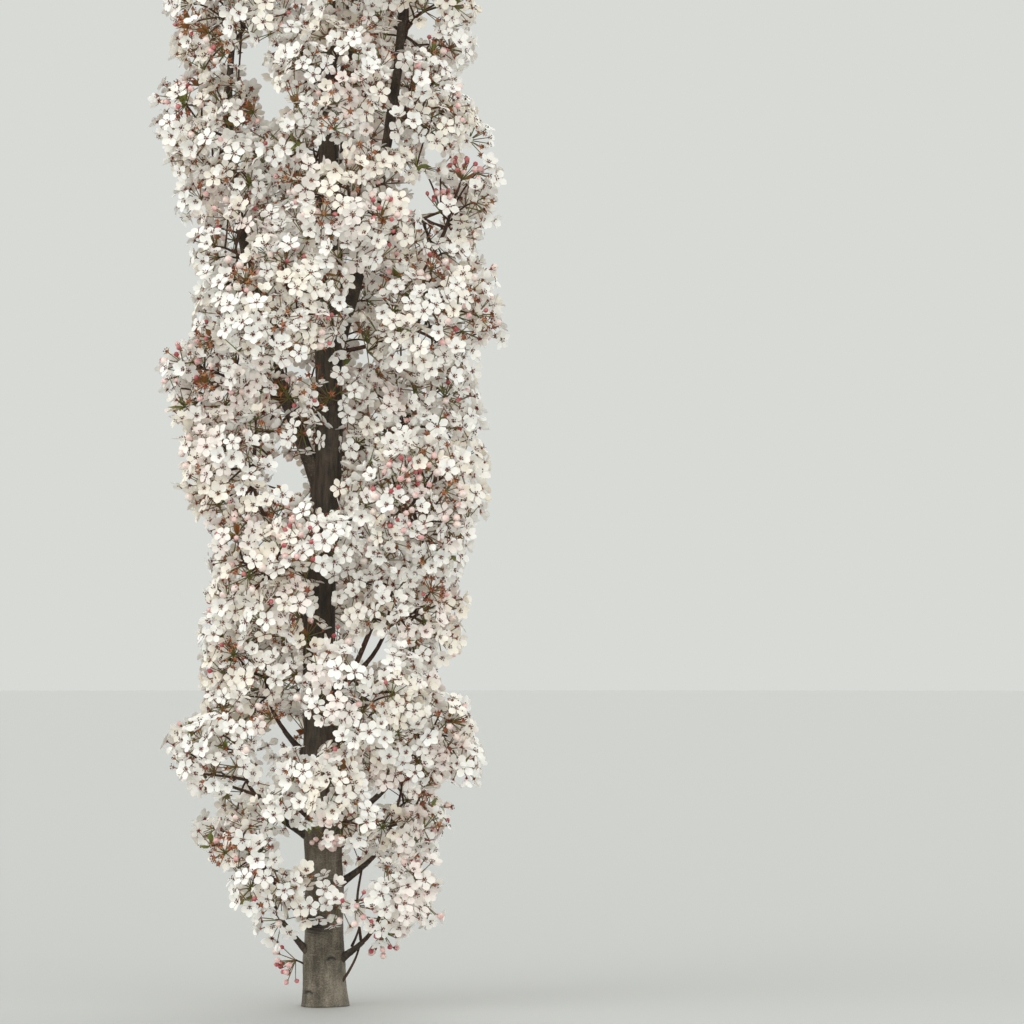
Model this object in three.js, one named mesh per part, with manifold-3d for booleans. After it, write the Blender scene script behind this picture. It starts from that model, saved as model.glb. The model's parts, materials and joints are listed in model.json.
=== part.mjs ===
// A young columnar pear tree in full blossom, rooted in level ground.
// Millimetres, +Z up. The origin is the middle of the flat cut under the trunk, and the photographed side
// faces -Y. Bearings run anticlockwise seen from above: 0 is right (+X), 90 back, 180 left and 270 front.

import * as THREE from "three";
import { mergeGeometries, mergeVertices } from "three/addons/utils/BufferGeometryUtils.js";
import Module from "manifold-3d";

const wasm = await Module();
wasm.setup();

// The trunk: its taper, its root flare and the points that it leans through
const TRUNK_HEIGHT = 1556;
const TRUNK_RADIUS = 21;
const TRUNK_TIP_RADIUS = 2.4;
const TRUNK_TAPER_POWER = 1.25;
const FLARE = 5;
const FLARE_HEIGHT = 34;
const ROOT_RIDGES = 3;
const RIDGE_DEPTH = 0.09;
const RIDGE_TURN = 0.6;
const TRUNK_SIDES = 12;
const TRUNK_STEPS = 18;
const TRUNK_LEAN = [
  [0, 0, 0],
  [-1, 1, 170],
  [-6, 2, 430],
  [4, -2, 640],
  [0, -3, 800],
  [3, 0, 960],
  [-2, 2, 1300],
  [0, 0, TRUNK_HEIGHT],
];

// Limbs leave the trunk at a narrow angle and rise to the mass that each one carries
const LIMBS = [
  { name: "leader_left", root: 552, carries: "top_1", thick: 8.5, thin: 2.6, bearing: 184, reach: 130 },
  { name: "leader_right", root: 690, carries: "top_4", thick: 8, thin: 3.4, bearing: 356, reach: 98 },
  { name: "leader_back", root: 500, carries: "top_2", thick: 7.5, thin: 2.8, bearing: 78, reach: 92 },
  { name: "bough_low_right", root: 40, carries: "right_1", thick: 4.4, thin: 2.6 },
  { name: "bough_low_left", root: 42, carries: "left_1", thick: 3.8, thin: 2.2 },
  { name: "bough_right_2", root: 122, carries: "right_2", thick: 4.6, thin: 2.8 },
  { name: "bough_right_3", root: 186, carries: "right_3", thick: 4.4, thin: 2.8 },
  { name: "bough_left_2", root: 176, carries: "left_2", thick: 4.6, thin: 2.8 },
  { name: "bough_left_3", root: 258, carries: "left_3", thick: 4.2, thin: 2.6 },
  { name: "bough_right_4", root: 330, carries: "right_4", thick: 4.6, thin: 2.8 },
  { name: "bough_left_5", root: 462, carries: "left_5", thick: 5, thin: 2.8 },
  { name: "bough_back_1", root: 70, carries: "back_1", thick: 4.4, thin: 2.6 },
  { name: "bough_back_3", root: 310, carries: "back_3", thick: 4.8, thin: 2.8 },
];
const LIMB_SIDES = 6;
const LIMB_STEPS = 5;
const LEADER_STEPS = 9;
const LEADER_STOPS = 40;
const LIMB_POINTS = 12;
const LIMB_TURN_IN = 4;
const ENTERS_AT = 0.86;

// The masses of blossom stand in four columns round the trunk: the height of each one's middle, how far its
// outer side reaches from the trunk, and half its width. Bearings swing by turns, so the crown is full all round.
const COLUMNS = [
  {
    side: "left",
    bearing: 180,
    swings: [24, 6, -20, 18, -4, -16, 14, -8, 12],
    heights: [165, 267, 357, 468, 590, 688, 806, 950, 1070],
    reaches: [143, 174, 142, 134, 163, 181, 156, 186, 170],
    halfWidths: [74, 82, 76, 78, 82, 82, 80, 84, 80],
  },
  {
    side: "right",
    bearing: 0,
    swings: [-22, 16, -14, 12, -20, 16, -10, 14, -18, 12],
    heights: [112, 204, 296, 434, 543, 642, 744, 868, 976, 1078],
    reaches: [130, 147, 174, 154, 174, 173, 194, 192, 166, 168],
    halfWidths: [66, 72, 80, 82, 82, 80, 84, 86, 80, 78],
  },
  {
    side: "front",
    bearing: 270,
    swings: [0, 30, -14, -34, 20, 4],
    heights: [216, 338, 512, 758, 866, 1000],
    reaches: [134, 146, 118, 150, 148, 146],
    halfWidths: [68, 74, 54, 82, 78, 80],
  },
  {
    side: "back",
    bearing: 90,
    swings: [16, -18, 14, -24, 20, -16, 18, -20],
    heights: [182, 304, 426, 548, 668, 788, 908, 1026],
    reaches: [146, 158, 152, 160, 162, 158, 164, 158],
    halfWidths: [76, 84, 84, 84, 82, 84, 84, 82],
  },
];

// Openings in the front of the crown, where the trunk shows between the masses
const OPENINGS = [
  { bearing: 270, out: 84, height: 108, halfWidth: 66 },
  { bearing: 266, out: 84, height: 444, halfWidth: 42 },
  { bearing: 262, out: 80, height: 612, halfWidth: 62 },
  { bearing: 272, out: 92, height: 936, halfWidth: 34 },
];

// Past the photograph's top edge the crown goes on in tiers of such masses and draws in to a rounded tip
const TIER_COUNTS = [3, 3, 3, 2, 1];
const TIER_BASE = 1176;
const TIER_RISE = 112;
const TIER_REACH = 166;
const TIER_HALF_WIDTH = 88;
const TIER_BEARINGS = [180, 0, 200, 330, 0];
const CROWN_TIP = 1610;
const TIER_STEP = 16;
const TIER_NARROWING = 0.24;
const DRAW_IN = 0.56;
const DRAW_IN_POWER = 1.8;

// Inside a mass: its stem, its twigs, and the core that they stand out of, as shares of half its width
const CLEARANCE = 0.3;
const MERGE_WITHIN = 1e-3;
const STEM = { root: 3.2, tip: 2, sides: 4, steps: 2, drop: 0.7, least: 16, bendOut: 0.7, bendUp: 0.4 };
const TWIG = { root: 2.6, tip: 1.6, sides: 3 };
const CORE_SIDES = 7;
const CORE_RINGS = 5;
const CORE_SHARE = 0.8;
const CORE_LUMPS = 0.15;
const CORE_MARGIN = 0.92;
const SEED = 1000;
const SPRAYS = 13;
const INWARD_LIMIT = 0.1;
const OUTWARD_LIFT = 30;
const JITTER = 0.1;
const SINK = 2;
const PULL_IN = [1, 0.92, 0.84];
const TURN_TRIES = 3;

// A large blossom stands for a spray: five petals with two shoulders each, thick in the middle
const BLOSSOM_WIDTH = 56;
const BLOSSOM_DEPTH = 8;
const PETALS = 5;
const NOTCH = 0.42;
const SHOULDER_TURN = THREE.MathUtils.degToRad(17);

const UP = new THREE.Vector3(0, 0, 1);
const GOLDEN_ANGLE = Math.PI * (3 - Math.sqrt(5));

// A seeded random number from 0 to 1, the same in every run
function seededRandom(seed) {
  let state = seed >>> 0;
  return () => {
    state = (state + 0x6d2b79f5) >>> 0;
    let t = state;
    t = Math.imul(t ^ (t >>> 15), t | 1);
    t ^= t + Math.imul(t ^ (t >>> 7), t | 61);
    return ((t ^ (t >>> 14)) >>> 0) / 4294967296;
  };
}

// A point at a distance and bearing from the trunk's foot, at a height
function around(bearing, distance, height) {
  const angle = THREE.MathUtils.degToRad(bearing);
  return new THREE.Vector3(Math.cos(angle) * distance, Math.sin(angle) * distance, height);
}

// A three.js geometry as a solid that can be joined and cut
function solidOf(geometry) {
  const bare = geometry.clone().deleteAttribute("normal").deleteAttribute("uv");
  const merged = mergeVertices(bare, MERGE_WITHIN);
  return new wasm.Manifold(
    new wasm.Mesh({
      numProp: 3,
      vertProperties: merged.attributes.position.array,
      triVerts: new Uint32Array(merged.index.array),
    }),
  );
}

// A solid as a three.js geometry with flat faces
function geometryOf(solid) {
  const mesh = solid.getMesh();
  const geometry = new THREE.BufferGeometry();
  geometry.setAttribute("position", new THREE.BufferAttribute(mesh.vertProperties, 3));
  geometry.setIndex(new THREE.BufferAttribute(mesh.triVerts, 1));
  const faceted = geometry.toNonIndexed();
  faceted.computeVertexNormals();
  return faceted;
}

// A cylinder bent along a curve, its radius a function of the share along it and the angle round it. The rings
// of an upright one stay level; those of any other stand across the curve.
function bentCylinder(curve, radiusAt, sides, steps, isUpright = false) {
  const geometry = new THREE.CylinderGeometry(1, 1, 1, sides, steps);
  const position = geometry.attributes.position;
  const frames = curve.computeFrenetFrames(steps);
  for (let i = 0; i < position.count; i++) {
    const along = position.getY(i) + 0.5;
    const ring = Math.round(along * steps);
    const across = isUpright ? new THREE.Vector3(0, -1, 0) : frames.normals[ring];
    const aside = isUpright ? new THREE.Vector3(1, 0, 0) : frames.binormals[ring];
    const radius = radiusAt(along, Math.atan2(position.getZ(i), position.getX(i)));
    const point = curve.getPointAt(along);
    point.addScaledVector(across, position.getZ(i) * radius);
    point.addScaledVector(aside, position.getX(i) * radius);
    position.setXYZ(i, point.x, point.y, point.z);
  }
  return geometry;
}

const trunkCurve = new THREE.CatmullRomCurve3(TRUNK_LEAN.map((point) => new THREE.Vector3(...point)));

// The trunk's radius at a height, with the flare and ridges of its root where it meets the ground
function trunkRadius(height, angle = 0) {
  const taper = 1 - Math.pow(Math.min(height / TRUNK_HEIGHT, 1), TRUNK_TAPER_POWER);
  const foot = Math.exp(-height / FLARE_HEIGHT);
  const ridges = 1 + RIDGE_DEPTH * foot * Math.cos(ROOT_RIDGES * angle + RIDGE_TURN);
  return (TRUNK_TIP_RADIUS + (TRUNK_RADIUS - TRUNK_TIP_RADIUS) * taper + FLARE * foot) * ridges;
}

function trunkSolid(grown) {
  const radiusAt = (along, angle) => trunkRadius(trunkCurve.getPointAt(along).z, angle) + grown;
  return solidOf(bentCylinder(trunkCurve, radiusAt, TRUNK_SIDES, TRUNK_STEPS, true));
}

// The point on the trunk's middle line at a height
function trunkPoint(height) {
  let low = 0;
  let high = 1;
  for (let i = 0; i < 24; i++) {
    const middle = (low + high) / 2;
    if (trunkCurve.getPointAt(middle).z < height) low = middle;
    else high = middle;
  }
  return trunkCurve.getPointAt(low);
}

// The spaces of the masses: a name, a middle and half a width for each one
function massSpaces() {
  const spaces = [];
  for (const { side, bearing, swings, heights, reaches, halfWidths } of COLUMNS)
    heights.forEach((height, i) => {
      const halfWidth = halfWidths[i];
      const out = (reaches[i] - halfWidth) / Math.cos(THREE.MathUtils.degToRad(swings[i]));
      const middle = around(bearing + swings[i], out, height);
      spaces.push({ name: `${side}_${i + 1}`, middle, halfWidth });
    });
  let number = 0;
  TIER_COUNTS.forEach((count, tier) => {
    const height = Math.min(TIER_BASE + TIER_RISE * tier, CROWN_TIP);
    const risen = (height - TIER_BASE) / (CROWN_TIP - TIER_BASE);
    const reach = TIER_REACH * (1 - DRAW_IN * Math.pow(risen, DRAW_IN_POWER));
    const halfWidth = TIER_HALF_WIDTH * (1 - TIER_NARROWING * risen);
    for (let i = 0; i < count; i++) {
      number += 1;
      const bearing = TIER_BEARINGS[tier] + (360 / count) * i;
      const out = count === 1 ? 0 : reach - halfWidth;
      const step = count === 1 ? 0 : TIER_STEP * ((i % 2) - 0.5);
      spaces.push({ name: `top_${number}`, middle: around(bearing, out, height + step), halfWidth });
    }
  });
  return spaces;
}

const spaces = massSpaces();

// How far a point is outside a space's ball, squared: 0 on its surface and negative inside
function power(point, { middle, halfWidth }) {
  return point.distanceToSquared(middle) - halfWidth * halfWidth;
}

// Neighbours share a flat border where their powers are equal, so each mass has a rounded space of its own
function isInSpace(point, space) {
  const own = power(point, space);
  if (own > 0) return false;
  return space.neighbours.every(
    (other) => (power(point, other) - own) / (2 * space.middle.distanceTo(other.middle)) > CLEARANCE,
  );
}

// How far a straight line from a space's middle runs before it meets a border
function borderDistance(direction, space) {
  let nearest = space.halfWidth;
  for (const other of space.neighbours) {
    const towards = other.middle.clone().sub(space.middle).dot(direction);
    const gained = power(space.middle, other) - power(space.middle, space);
    if (towards > 0) nearest = Math.min(nearest, gained / (2 * towards));
  }
  return nearest;
}

const openings = OPENINGS.map(({ bearing, out, height, halfWidth }) => ({
  middle: around(bearing, out, height),
  halfWidth,
}));
for (const space of spaces)
  space.neighbours = [...spaces, ...openings].filter(({ middle, halfWidth }) => {
    const distance = space.middle.distanceTo(middle);
    return distance > 0 && distance < space.halfWidth + halfWidth;
  });

// A limb runs from the trunk's middle to its mass: it leans out at first and then turns up. A leader keeps to
// its own bearing and reach until it turns in to its mass near its end.
function limbCurve({ root, carries, bearing, reach }) {
  const space = spaces.find(({ name }) => name === carries);
  const start = trunkPoint(root);
  const end = space.middle.clone();
  const bend = bearing === undefined ? end.clone() : around(bearing, reach, end.z);
  const points = [];
  for (let i = 0; i <= LIMB_POINTS; i++) {
    const share = i / LIMB_POINTS;
    const out = 1 - (1 - share) * (1 - share);
    const point = start.clone().lerp(bend.clone().lerp(end, Math.pow(share, LIMB_TURN_IN)), out);
    point.z = THREE.MathUtils.lerp(start.z, end.z, share);
    points.push(point);
    if (point.distanceTo(space.middle) < ENTERS_AT * space.halfWidth) break;
  }
  return new THREE.CatmullRomCurve3(points);
}

// A limb, or the same limb grown by a clearance on its sides and past its tip
function limbSolid({ curve, thick, thin, steps }, grown) {
  const radiusAt = (along) => thick + (thin - thick) * along + grown;
  const limb = solidOf(bentCylinder(curve, radiusAt, LIMB_SIDES, steps));
  if (grown === 0) return limb;
  const tip = curve.getPointAt(1);
  const tangent = curve.getTangentAt(1);
  const behind = tip.clone().addScaledVector(tangent, -thin);
  const ahead = tip.clone().addScaledVector(tangent, grown);
  const collar = bentCylinder(new THREE.LineCurve3(behind, ahead), () => STEM.root + grown, LIMB_SIDES, 1);
  return limb.add(solidOf(collar));
}

const trunk = trunkSolid(0);
const trunkGrown = trunkSolid(CLEARANCE);
const limbs = LIMBS.map((limb) => {
  const steps = limb.bearing === undefined ? LIMB_STEPS : LEADER_STEPS;
  const whole = { ...limb, steps, curve: limbCurve(limb) };
  return {
    ...whole,
    solid: limbSolid(whole, 0).subtract(trunkGrown),
    grown: limbSolid(whole, CLEARANCE),
  };
});

// The point that a mass's stem leaves, on the middle line of the nearest of the trunk and the leaders
function stemFoot(space) {
  const drop = STEM.drop * Math.hypot(space.middle.x, space.middle.y);
  let foot = trunkPoint(THREE.MathUtils.clamp(space.middle.z - drop, STEM.least, TRUNK_HEIGHT));
  for (const { curve } of limbs.filter(({ bearing }) => bearing !== undefined))
    for (const point of curve.getSpacedPoints(LEADER_STOPS).slice(2, -4))
      if (
        point.z < space.middle.z &&
        point.distanceTo(space.middle) + STEM.least < foot.distanceTo(space.middle)
      )
        foot = point;
  return foot;
}

// A mass's stem, from its bough's tip or the trunk's, or else from the side of the trunk or a leader
function stemCurve(space) {
  const bough = limbs.find(({ carries }) => carries === space.name);
  const isTop = space === spaces.at(-1);
  if (bough || isTop) {
    const carrier = isTop ? trunkCurve : bough.curve;
    const ahead = carrier.getTangentAt(1);
    const start = carrier.getPointAt(1).addScaledVector(ahead, CLEARANCE);
    const bend = start.clone().addScaledVector(ahead, start.distanceTo(space.middle) / 2);
    return new THREE.QuadraticBezierCurve3(start, bend, space.middle);
  }
  const foot = stemFoot(space);
  const end = space.middle.clone();
  const aside = end.clone().sub(foot).setZ(0);
  if (aside.length() < STEM.least) end.sub(aside).add(aside.clone().setLength(STEM.least));
  const bend = foot.clone().lerp(end, STEM.bendOut);
  bend.z = THREE.MathUtils.lerp(foot.z, end.z, STEM.bendUp);
  return new THREE.QuadraticBezierCurve3(foot, bend, end);
}

function stemSolid(curve, grown) {
  const radiusAt = (along) => STEM.root + (STEM.tip - STEM.root) * along + grown;
  return solidOf(bentCylinder(curve, radiusAt, STEM.sides, STEM.steps));
}

const limbsGrown = wasm.Manifold.union([trunkGrown, ...limbs.map(({ grown }) => grown)]);
for (const space of spaces) {
  space.stem = stemCurve(space);
  space.stemGrown = stemSolid(space.stem, CLEARANCE);
}

// A straight twig between two points, its root thicker than its tip
function twigSolid(from, to) {
  const radiusAt = (along) => TWIG.root + (TWIG.tip - TWIG.root) * along;
  return solidOf(bentCylinder(new THREE.LineCurve3(from, to), radiusAt, TWIG.sides, 1));
}

// The points round a blossom's edge: a notch and two shoulders for each petal
function blossomEdge() {
  const edge = [];
  const addPoint = (angle, share) => {
    const point = new THREE.Vector2(Math.cos(angle), Math.sin(angle));
    edge.push(point.multiplyScalar((share * BLOSSOM_WIDTH) / 2));
  };
  for (let petal = 0; petal < PETALS; petal++) {
    const middle = (petal * 2 * Math.PI) / PETALS;
    addPoint(middle - Math.PI / PETALS, NOTCH);
    addPoint(middle - SHOULDER_TURN, 1);
    addPoint(middle + SHOULDER_TURN, 1);
  }
  return edge;
}

// A blossom at the origin that faces +Z: a flat back cut to the petals, and a low cone over it
function blossomGeometry() {
  const edge = blossomEdge();
  const back = new THREE.ShapeGeometry(new THREE.Shape(edge));
  back.setIndex(Array.from(back.index.array).reverse());
  const front = new THREE.ConeGeometry(1, BLOSSOM_DEPTH, edge.length, 1, true);
  front.rotateX(Math.PI / 2).rotateZ(Math.PI / 2).translate(0, 0, BLOSSOM_DEPTH / 2);
  const position = front.attributes.position;
  for (let i = 0; i < position.count; i++) {
    const step = Math.atan2(position.getY(i), position.getX(i)) / ((2 * Math.PI) / edge.length);
    const point = edge[(Math.round(step) + edge.length) % edge.length];
    if (position.getZ(i) < BLOSSOM_DEPTH / 2) position.setXYZ(i, point.x, point.y, 0);
  }
  return mergeGeometries([front, back]);
}

const blossom = blossomGeometry();

// A lumpy core that fills the inside of a space and stops short of its borders
function coreSolid(space, random) {
  const ball = new THREE.SphereGeometry(1, CORE_SIDES, CORE_RINGS).rotateX(Math.PI / 2);
  const geometry = mergeVertices(ball.deleteAttribute("normal").deleteAttribute("uv"), MERGE_WITHIN);
  const position = geometry.attributes.position;
  for (let i = 0; i < position.count; i++) {
    const direction = new THREE.Vector3().fromBufferAttribute(position, i).normalize();
    const lump = CORE_SHARE * space.halfWidth * (1 + CORE_LUMPS * (2 * random() - 1));
    const distance = Math.min(lump, CORE_MARGIN * borderDistance(direction, space) - CLEARANCE);
    const point = space.middle.clone().addScaledVector(direction, distance);
    position.setXYZ(i, point.x, point.y, point.z);
  }
  return solidOf(geometry);
}

// The directions of a mass's twigs: a golden spiral over the ball, each one shaken a little. Those that face
// the inside of the crown are left out.
function sprayDirections(space, random) {
  const outward = new THREE.Vector3(space.middle.x, space.middle.y, OUTWARD_LIFT).normalize();
  const phase = random() * 2 * Math.PI;
  const shake = () => JITTER * (2 * random() - 1);
  const directions = [];
  for (let i = 0; i < SPRAYS; i++) {
    const height = 1 - (2 * (i + 0.5)) / SPRAYS;
    const ring = Math.sqrt(1 - height * height);
    const angle = phase + i * GOLDEN_ANGLE;
    const direction = new THREE.Vector3(Math.cos(angle) * ring, Math.sin(angle) * ring, height);
    direction.add(new THREE.Vector3(shake(), shake(), shake())).normalize();
    if (direction.dot(outward) > INWARD_LIMIT) directions.push(direction);
  }
  return directions;
}

// The largest of the bodies in a solid, so a hollow is filled and a loose scrap is dropped
function largestBody(solid) {
  return solid.decompose().reduce((best, body) => (body.volume() > best.volume() ? body : best));
}

// A blossom on the far side of its twig's tip, or null where it would leave the space
function blossomSolid(space, direction, seat, turn) {
  const geometry = blossom.clone().rotateZ(turn).translate(0, 0, seat);
  geometry.applyQuaternion(new THREE.Quaternion().setFromUnitVectors(UP, direction));
  geometry.translate(...space.middle);
  const position = geometry.attributes.position;
  for (let i = 0; i < position.count; i++)
    if (!isInSpace(new THREE.Vector3().fromBufferAttribute(position, i), space)) return null;
  return solidOf(geometry);
}

// One mass: its stem, the twigs that leave it, a blossom on each one's tip and the core they stand out of
function massSolid(space, number) {
  const random = seededRandom(SEED + number);
  const otherStems = spaces.filter((other) => other !== space).map(({ stemGrown }) => stemGrown);
  const obstacles = wasm.Manifold.union([limbsGrown, ...otherStems]);
  const isClear = (solid) => solid.intersect(obstacles).isEmpty();
  const stem = stemSolid(space.stem, 0).subtract(limbsGrown);
  const parts = [stem, coreSolid(space, random).subtract(obstacles)];
  const ballSeat = Math.sqrt(space.halfWidth ** 2 - (BLOSSOM_WIDTH / 2) ** 2);
  const seat = Math.min(ballSeat, space.halfWidth - BLOSSOM_DEPTH) - CLEARANCE;
  const blossoms = [];
  for (const direction of sprayDirections(space, random)) {
    const turn = random() * 2 * Math.PI;
    for (let attempt = 0; attempt < PULL_IN.length * TURN_TRIES; attempt++) {
      const distance = seat * PULL_IN[Math.floor(attempt / TURN_TRIES)];
      const spin = turn + ((attempt % TURN_TRIES) * 2 * Math.PI) / PETALS / TURN_TRIES;
      const solid = blossomSolid(space, direction, distance, spin);
      if (!solid || !isClear(solid)) continue;
      if (blossoms.some((other) => !other.intersect(solid).isEmpty())) continue;
      const tip = space.middle.clone().addScaledVector(direction, distance + SINK);
      const twig = twigSolid(space.middle, tip);
      if (!isClear(twig)) continue;
      blossoms.push(solid);
      parts.push(solid, twig);
      break;
    }
  }
  return largestBody(wasm.Manifold.union(parts));
}

const bark = new THREE.MeshStandardMaterial({ color: 0x5c5348, roughness: 0.85, metalness: 0 });
const twigBark = new THREE.MeshStandardMaterial({ color: 0x42382f, roughness: 0.8, metalness: 0 });
const petals = new THREE.MeshStandardMaterial({ color: 0xf1eee8, roughness: 0.6, metalness: 0 });

const tree = new THREE.Group();

function addPart(name, solid, material) {
  const mesh = new THREE.Mesh(geometryOf(solid), material);
  mesh.name = name;
  tree.add(mesh);
}

addPart("trunk", trunk, bark);
for (const limb of limbs) addPart(limb.name, limb.solid, twigBark);
spaces.forEach((space, number) => addPart(`blossom_${space.name}`, massSolid(space, number), petals));

export default tree;
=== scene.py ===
# %% [markdown]
# # A flowering pear tree
# This is a young columnar pear tree in full white blossom, rooted in level ground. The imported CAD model
# gives its trunk, its limbs and 45 rounded masses of blossom. This script dresses them: a bark with relief
# for the wood, and real twigs, flower clusters, buds and small leaves for the masses. The frame is loaded
# first, because everything that follows has to stay in the box that the CAD model fills.

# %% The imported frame
import json
import math
from dataclasses import dataclass, field

import bpy
import numpy as np
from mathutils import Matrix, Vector, noise

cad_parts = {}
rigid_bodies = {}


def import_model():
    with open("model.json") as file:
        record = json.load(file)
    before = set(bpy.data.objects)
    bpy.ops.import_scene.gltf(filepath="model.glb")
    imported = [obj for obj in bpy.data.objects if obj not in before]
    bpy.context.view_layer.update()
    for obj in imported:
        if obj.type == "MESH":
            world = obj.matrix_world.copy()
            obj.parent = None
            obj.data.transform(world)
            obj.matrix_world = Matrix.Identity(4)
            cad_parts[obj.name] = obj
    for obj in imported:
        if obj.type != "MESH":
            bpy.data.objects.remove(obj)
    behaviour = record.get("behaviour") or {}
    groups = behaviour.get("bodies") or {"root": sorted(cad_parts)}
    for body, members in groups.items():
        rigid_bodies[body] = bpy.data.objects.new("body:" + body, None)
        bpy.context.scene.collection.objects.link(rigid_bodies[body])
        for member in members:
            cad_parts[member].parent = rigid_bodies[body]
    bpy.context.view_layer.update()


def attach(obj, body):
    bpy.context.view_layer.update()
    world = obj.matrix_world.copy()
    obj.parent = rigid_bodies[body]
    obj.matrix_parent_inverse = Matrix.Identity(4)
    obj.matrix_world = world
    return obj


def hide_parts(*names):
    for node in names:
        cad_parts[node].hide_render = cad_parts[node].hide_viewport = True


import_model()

MM = 0.001


# %% [markdown]
# ## The camera, the floor and the light
# The photograph looks at the tree from about four metres away, a little below the height of its middle,
# through a long lens, and it cuts the tree's top off. The tree stands left of the middle. A long lens
# could be copied by cropping a wide view, but a real long lens keeps the limbs as parallel as they are in
# the photograph. The day is overcast, so light comes from everywhere: a pale surround, and very broad
# suns, the strongest high on the left. Real petals let light through to those behind them. Clear petals
# would render slowly and are lost in the exported model, so three weak warm lamps without shadows stand
# for that glow between the flowers.

# %% The camera, the floor and the light
CAMERA_AWAY, CAMERA_HEIGHT = 3910, 377
LENS, SENSOR, CLIP_END = 125, 36, 200
TILT, TURN = 92.38, -3.01
FLOOR_RADIUS, FLOOR_SIDES, FLOOR_DROP = 40, 96, 0.0006
# name, strength, width in degrees, where it stands, colour, and whether things cast a shadow in it
SUNS = [
    ("sun_left", 0.46, 45, (-0.9, -0.5, 0.9), (0.93, 0.985, 1), True),
    ("sun_front", 0.20, 60, (-0.1, -1, 0.22), (0.95, 0.985, 1), True),
    ("sun_right", 0.25, 70, (0.9, -0.8, 0.35), (0.95, 0.985, 1), True),
    ("sun_behind", 0.40, 60, (0.2, 0.8, 1), (0.95, 0.985, 1), True),
    ("glow_left", 1.08, 90, (-0.9, -0.8, 0.3), (1, 0.94, 0.855), False),
    ("glow_right", 0.76, 90, (0.5, -1, 0.15), (1, 0.94, 0.855), False),
    ("glow_behind", 0.85, 90, (0.5, 1, 0.3), (1, 0.94, 0.855), False),
]
SURROUND, SURROUND_STRENGTH = (0.70, 0.715, 0.685, 1), 0.98
scene = bpy.context.scene


def link(name, data):
    """Puts data in the scene as an object at the origin."""
    made = bpy.data.objects.new(name, data)
    scene.collection.objects.link(made)
    return made


lens = bpy.data.cameras.new("camera")
lens.lens, lens.sensor_width = LENS, SENSOR
lens.clip_end = CLIP_END
camera = link("camera", lens)
camera.location = (0, -CAMERA_AWAY * MM, CAMERA_HEIGHT * MM)
camera.rotation_euler = (math.radians(TILT), 0, math.radians(TURN))
scene.camera = camera

for name, strength, width, toward, colour, has_shadow in SUNS:
    sun = bpy.data.lights.new(name, "SUN")
    sun.energy, sun.angle, sun.color, sun.use_shadow = strength, math.radians(width), colour, has_shadow
    link(name, sun).rotation_euler = Vector(toward).to_track_quat("Z", "Y").to_euler()

world = bpy.data.worlds.new("studio")
world.use_nodes = True
surround = world.node_tree.nodes["Background"].inputs
surround["Color"].default_value = SURROUND
surround["Strength"].default_value = SURROUND_STRENGTH
scene.world = world
scene.view_settings.view_transform = "Standard"

rim = [(FLOOR_RADIUS * math.cos(a), FLOOR_RADIUS * math.sin(a), -FLOOR_DROP)
       for a in np.linspace(0, 2 * math.pi, FLOOR_SIDES, endpoint=False)]
floor_mesh = bpy.data.meshes.new("floor")
floor_mesh.from_pydata(rim, [], [range(FLOOR_SIDES)])
floor = link("floor", floor_mesh)
print("camera, floor and", len(bpy.data.lights), "lamps")

# %% [markdown]
# ## Shader sums as Python
# Each finish is a small network of nodes. Such a network could be wired by hand, one link at a time, but
# sums are easier to read as sums. So an output socket is wrapped in a class whose operators add Math
# nodes, and any other node comes from one method that takes its type, its settings and its sockets.

# %% Shader sums as Python
class Signal:
    """An output socket of a finish. Its operators add Math nodes."""

    def __init__(self, finish, socket):
        self.finish, self.socket = finish, socket

    def _math(self, operation, *values):
        return self.finish.node("ShaderNodeMath", {"operation": operation}, dict(enumerate(values)))

    def __add__(self, other):
        return self._math("ADD", self, other)

    def __mul__(self, other):
        return self._math("MULTIPLY", self, other)

    __radd__, __rmul__ = __add__, __mul__


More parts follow.
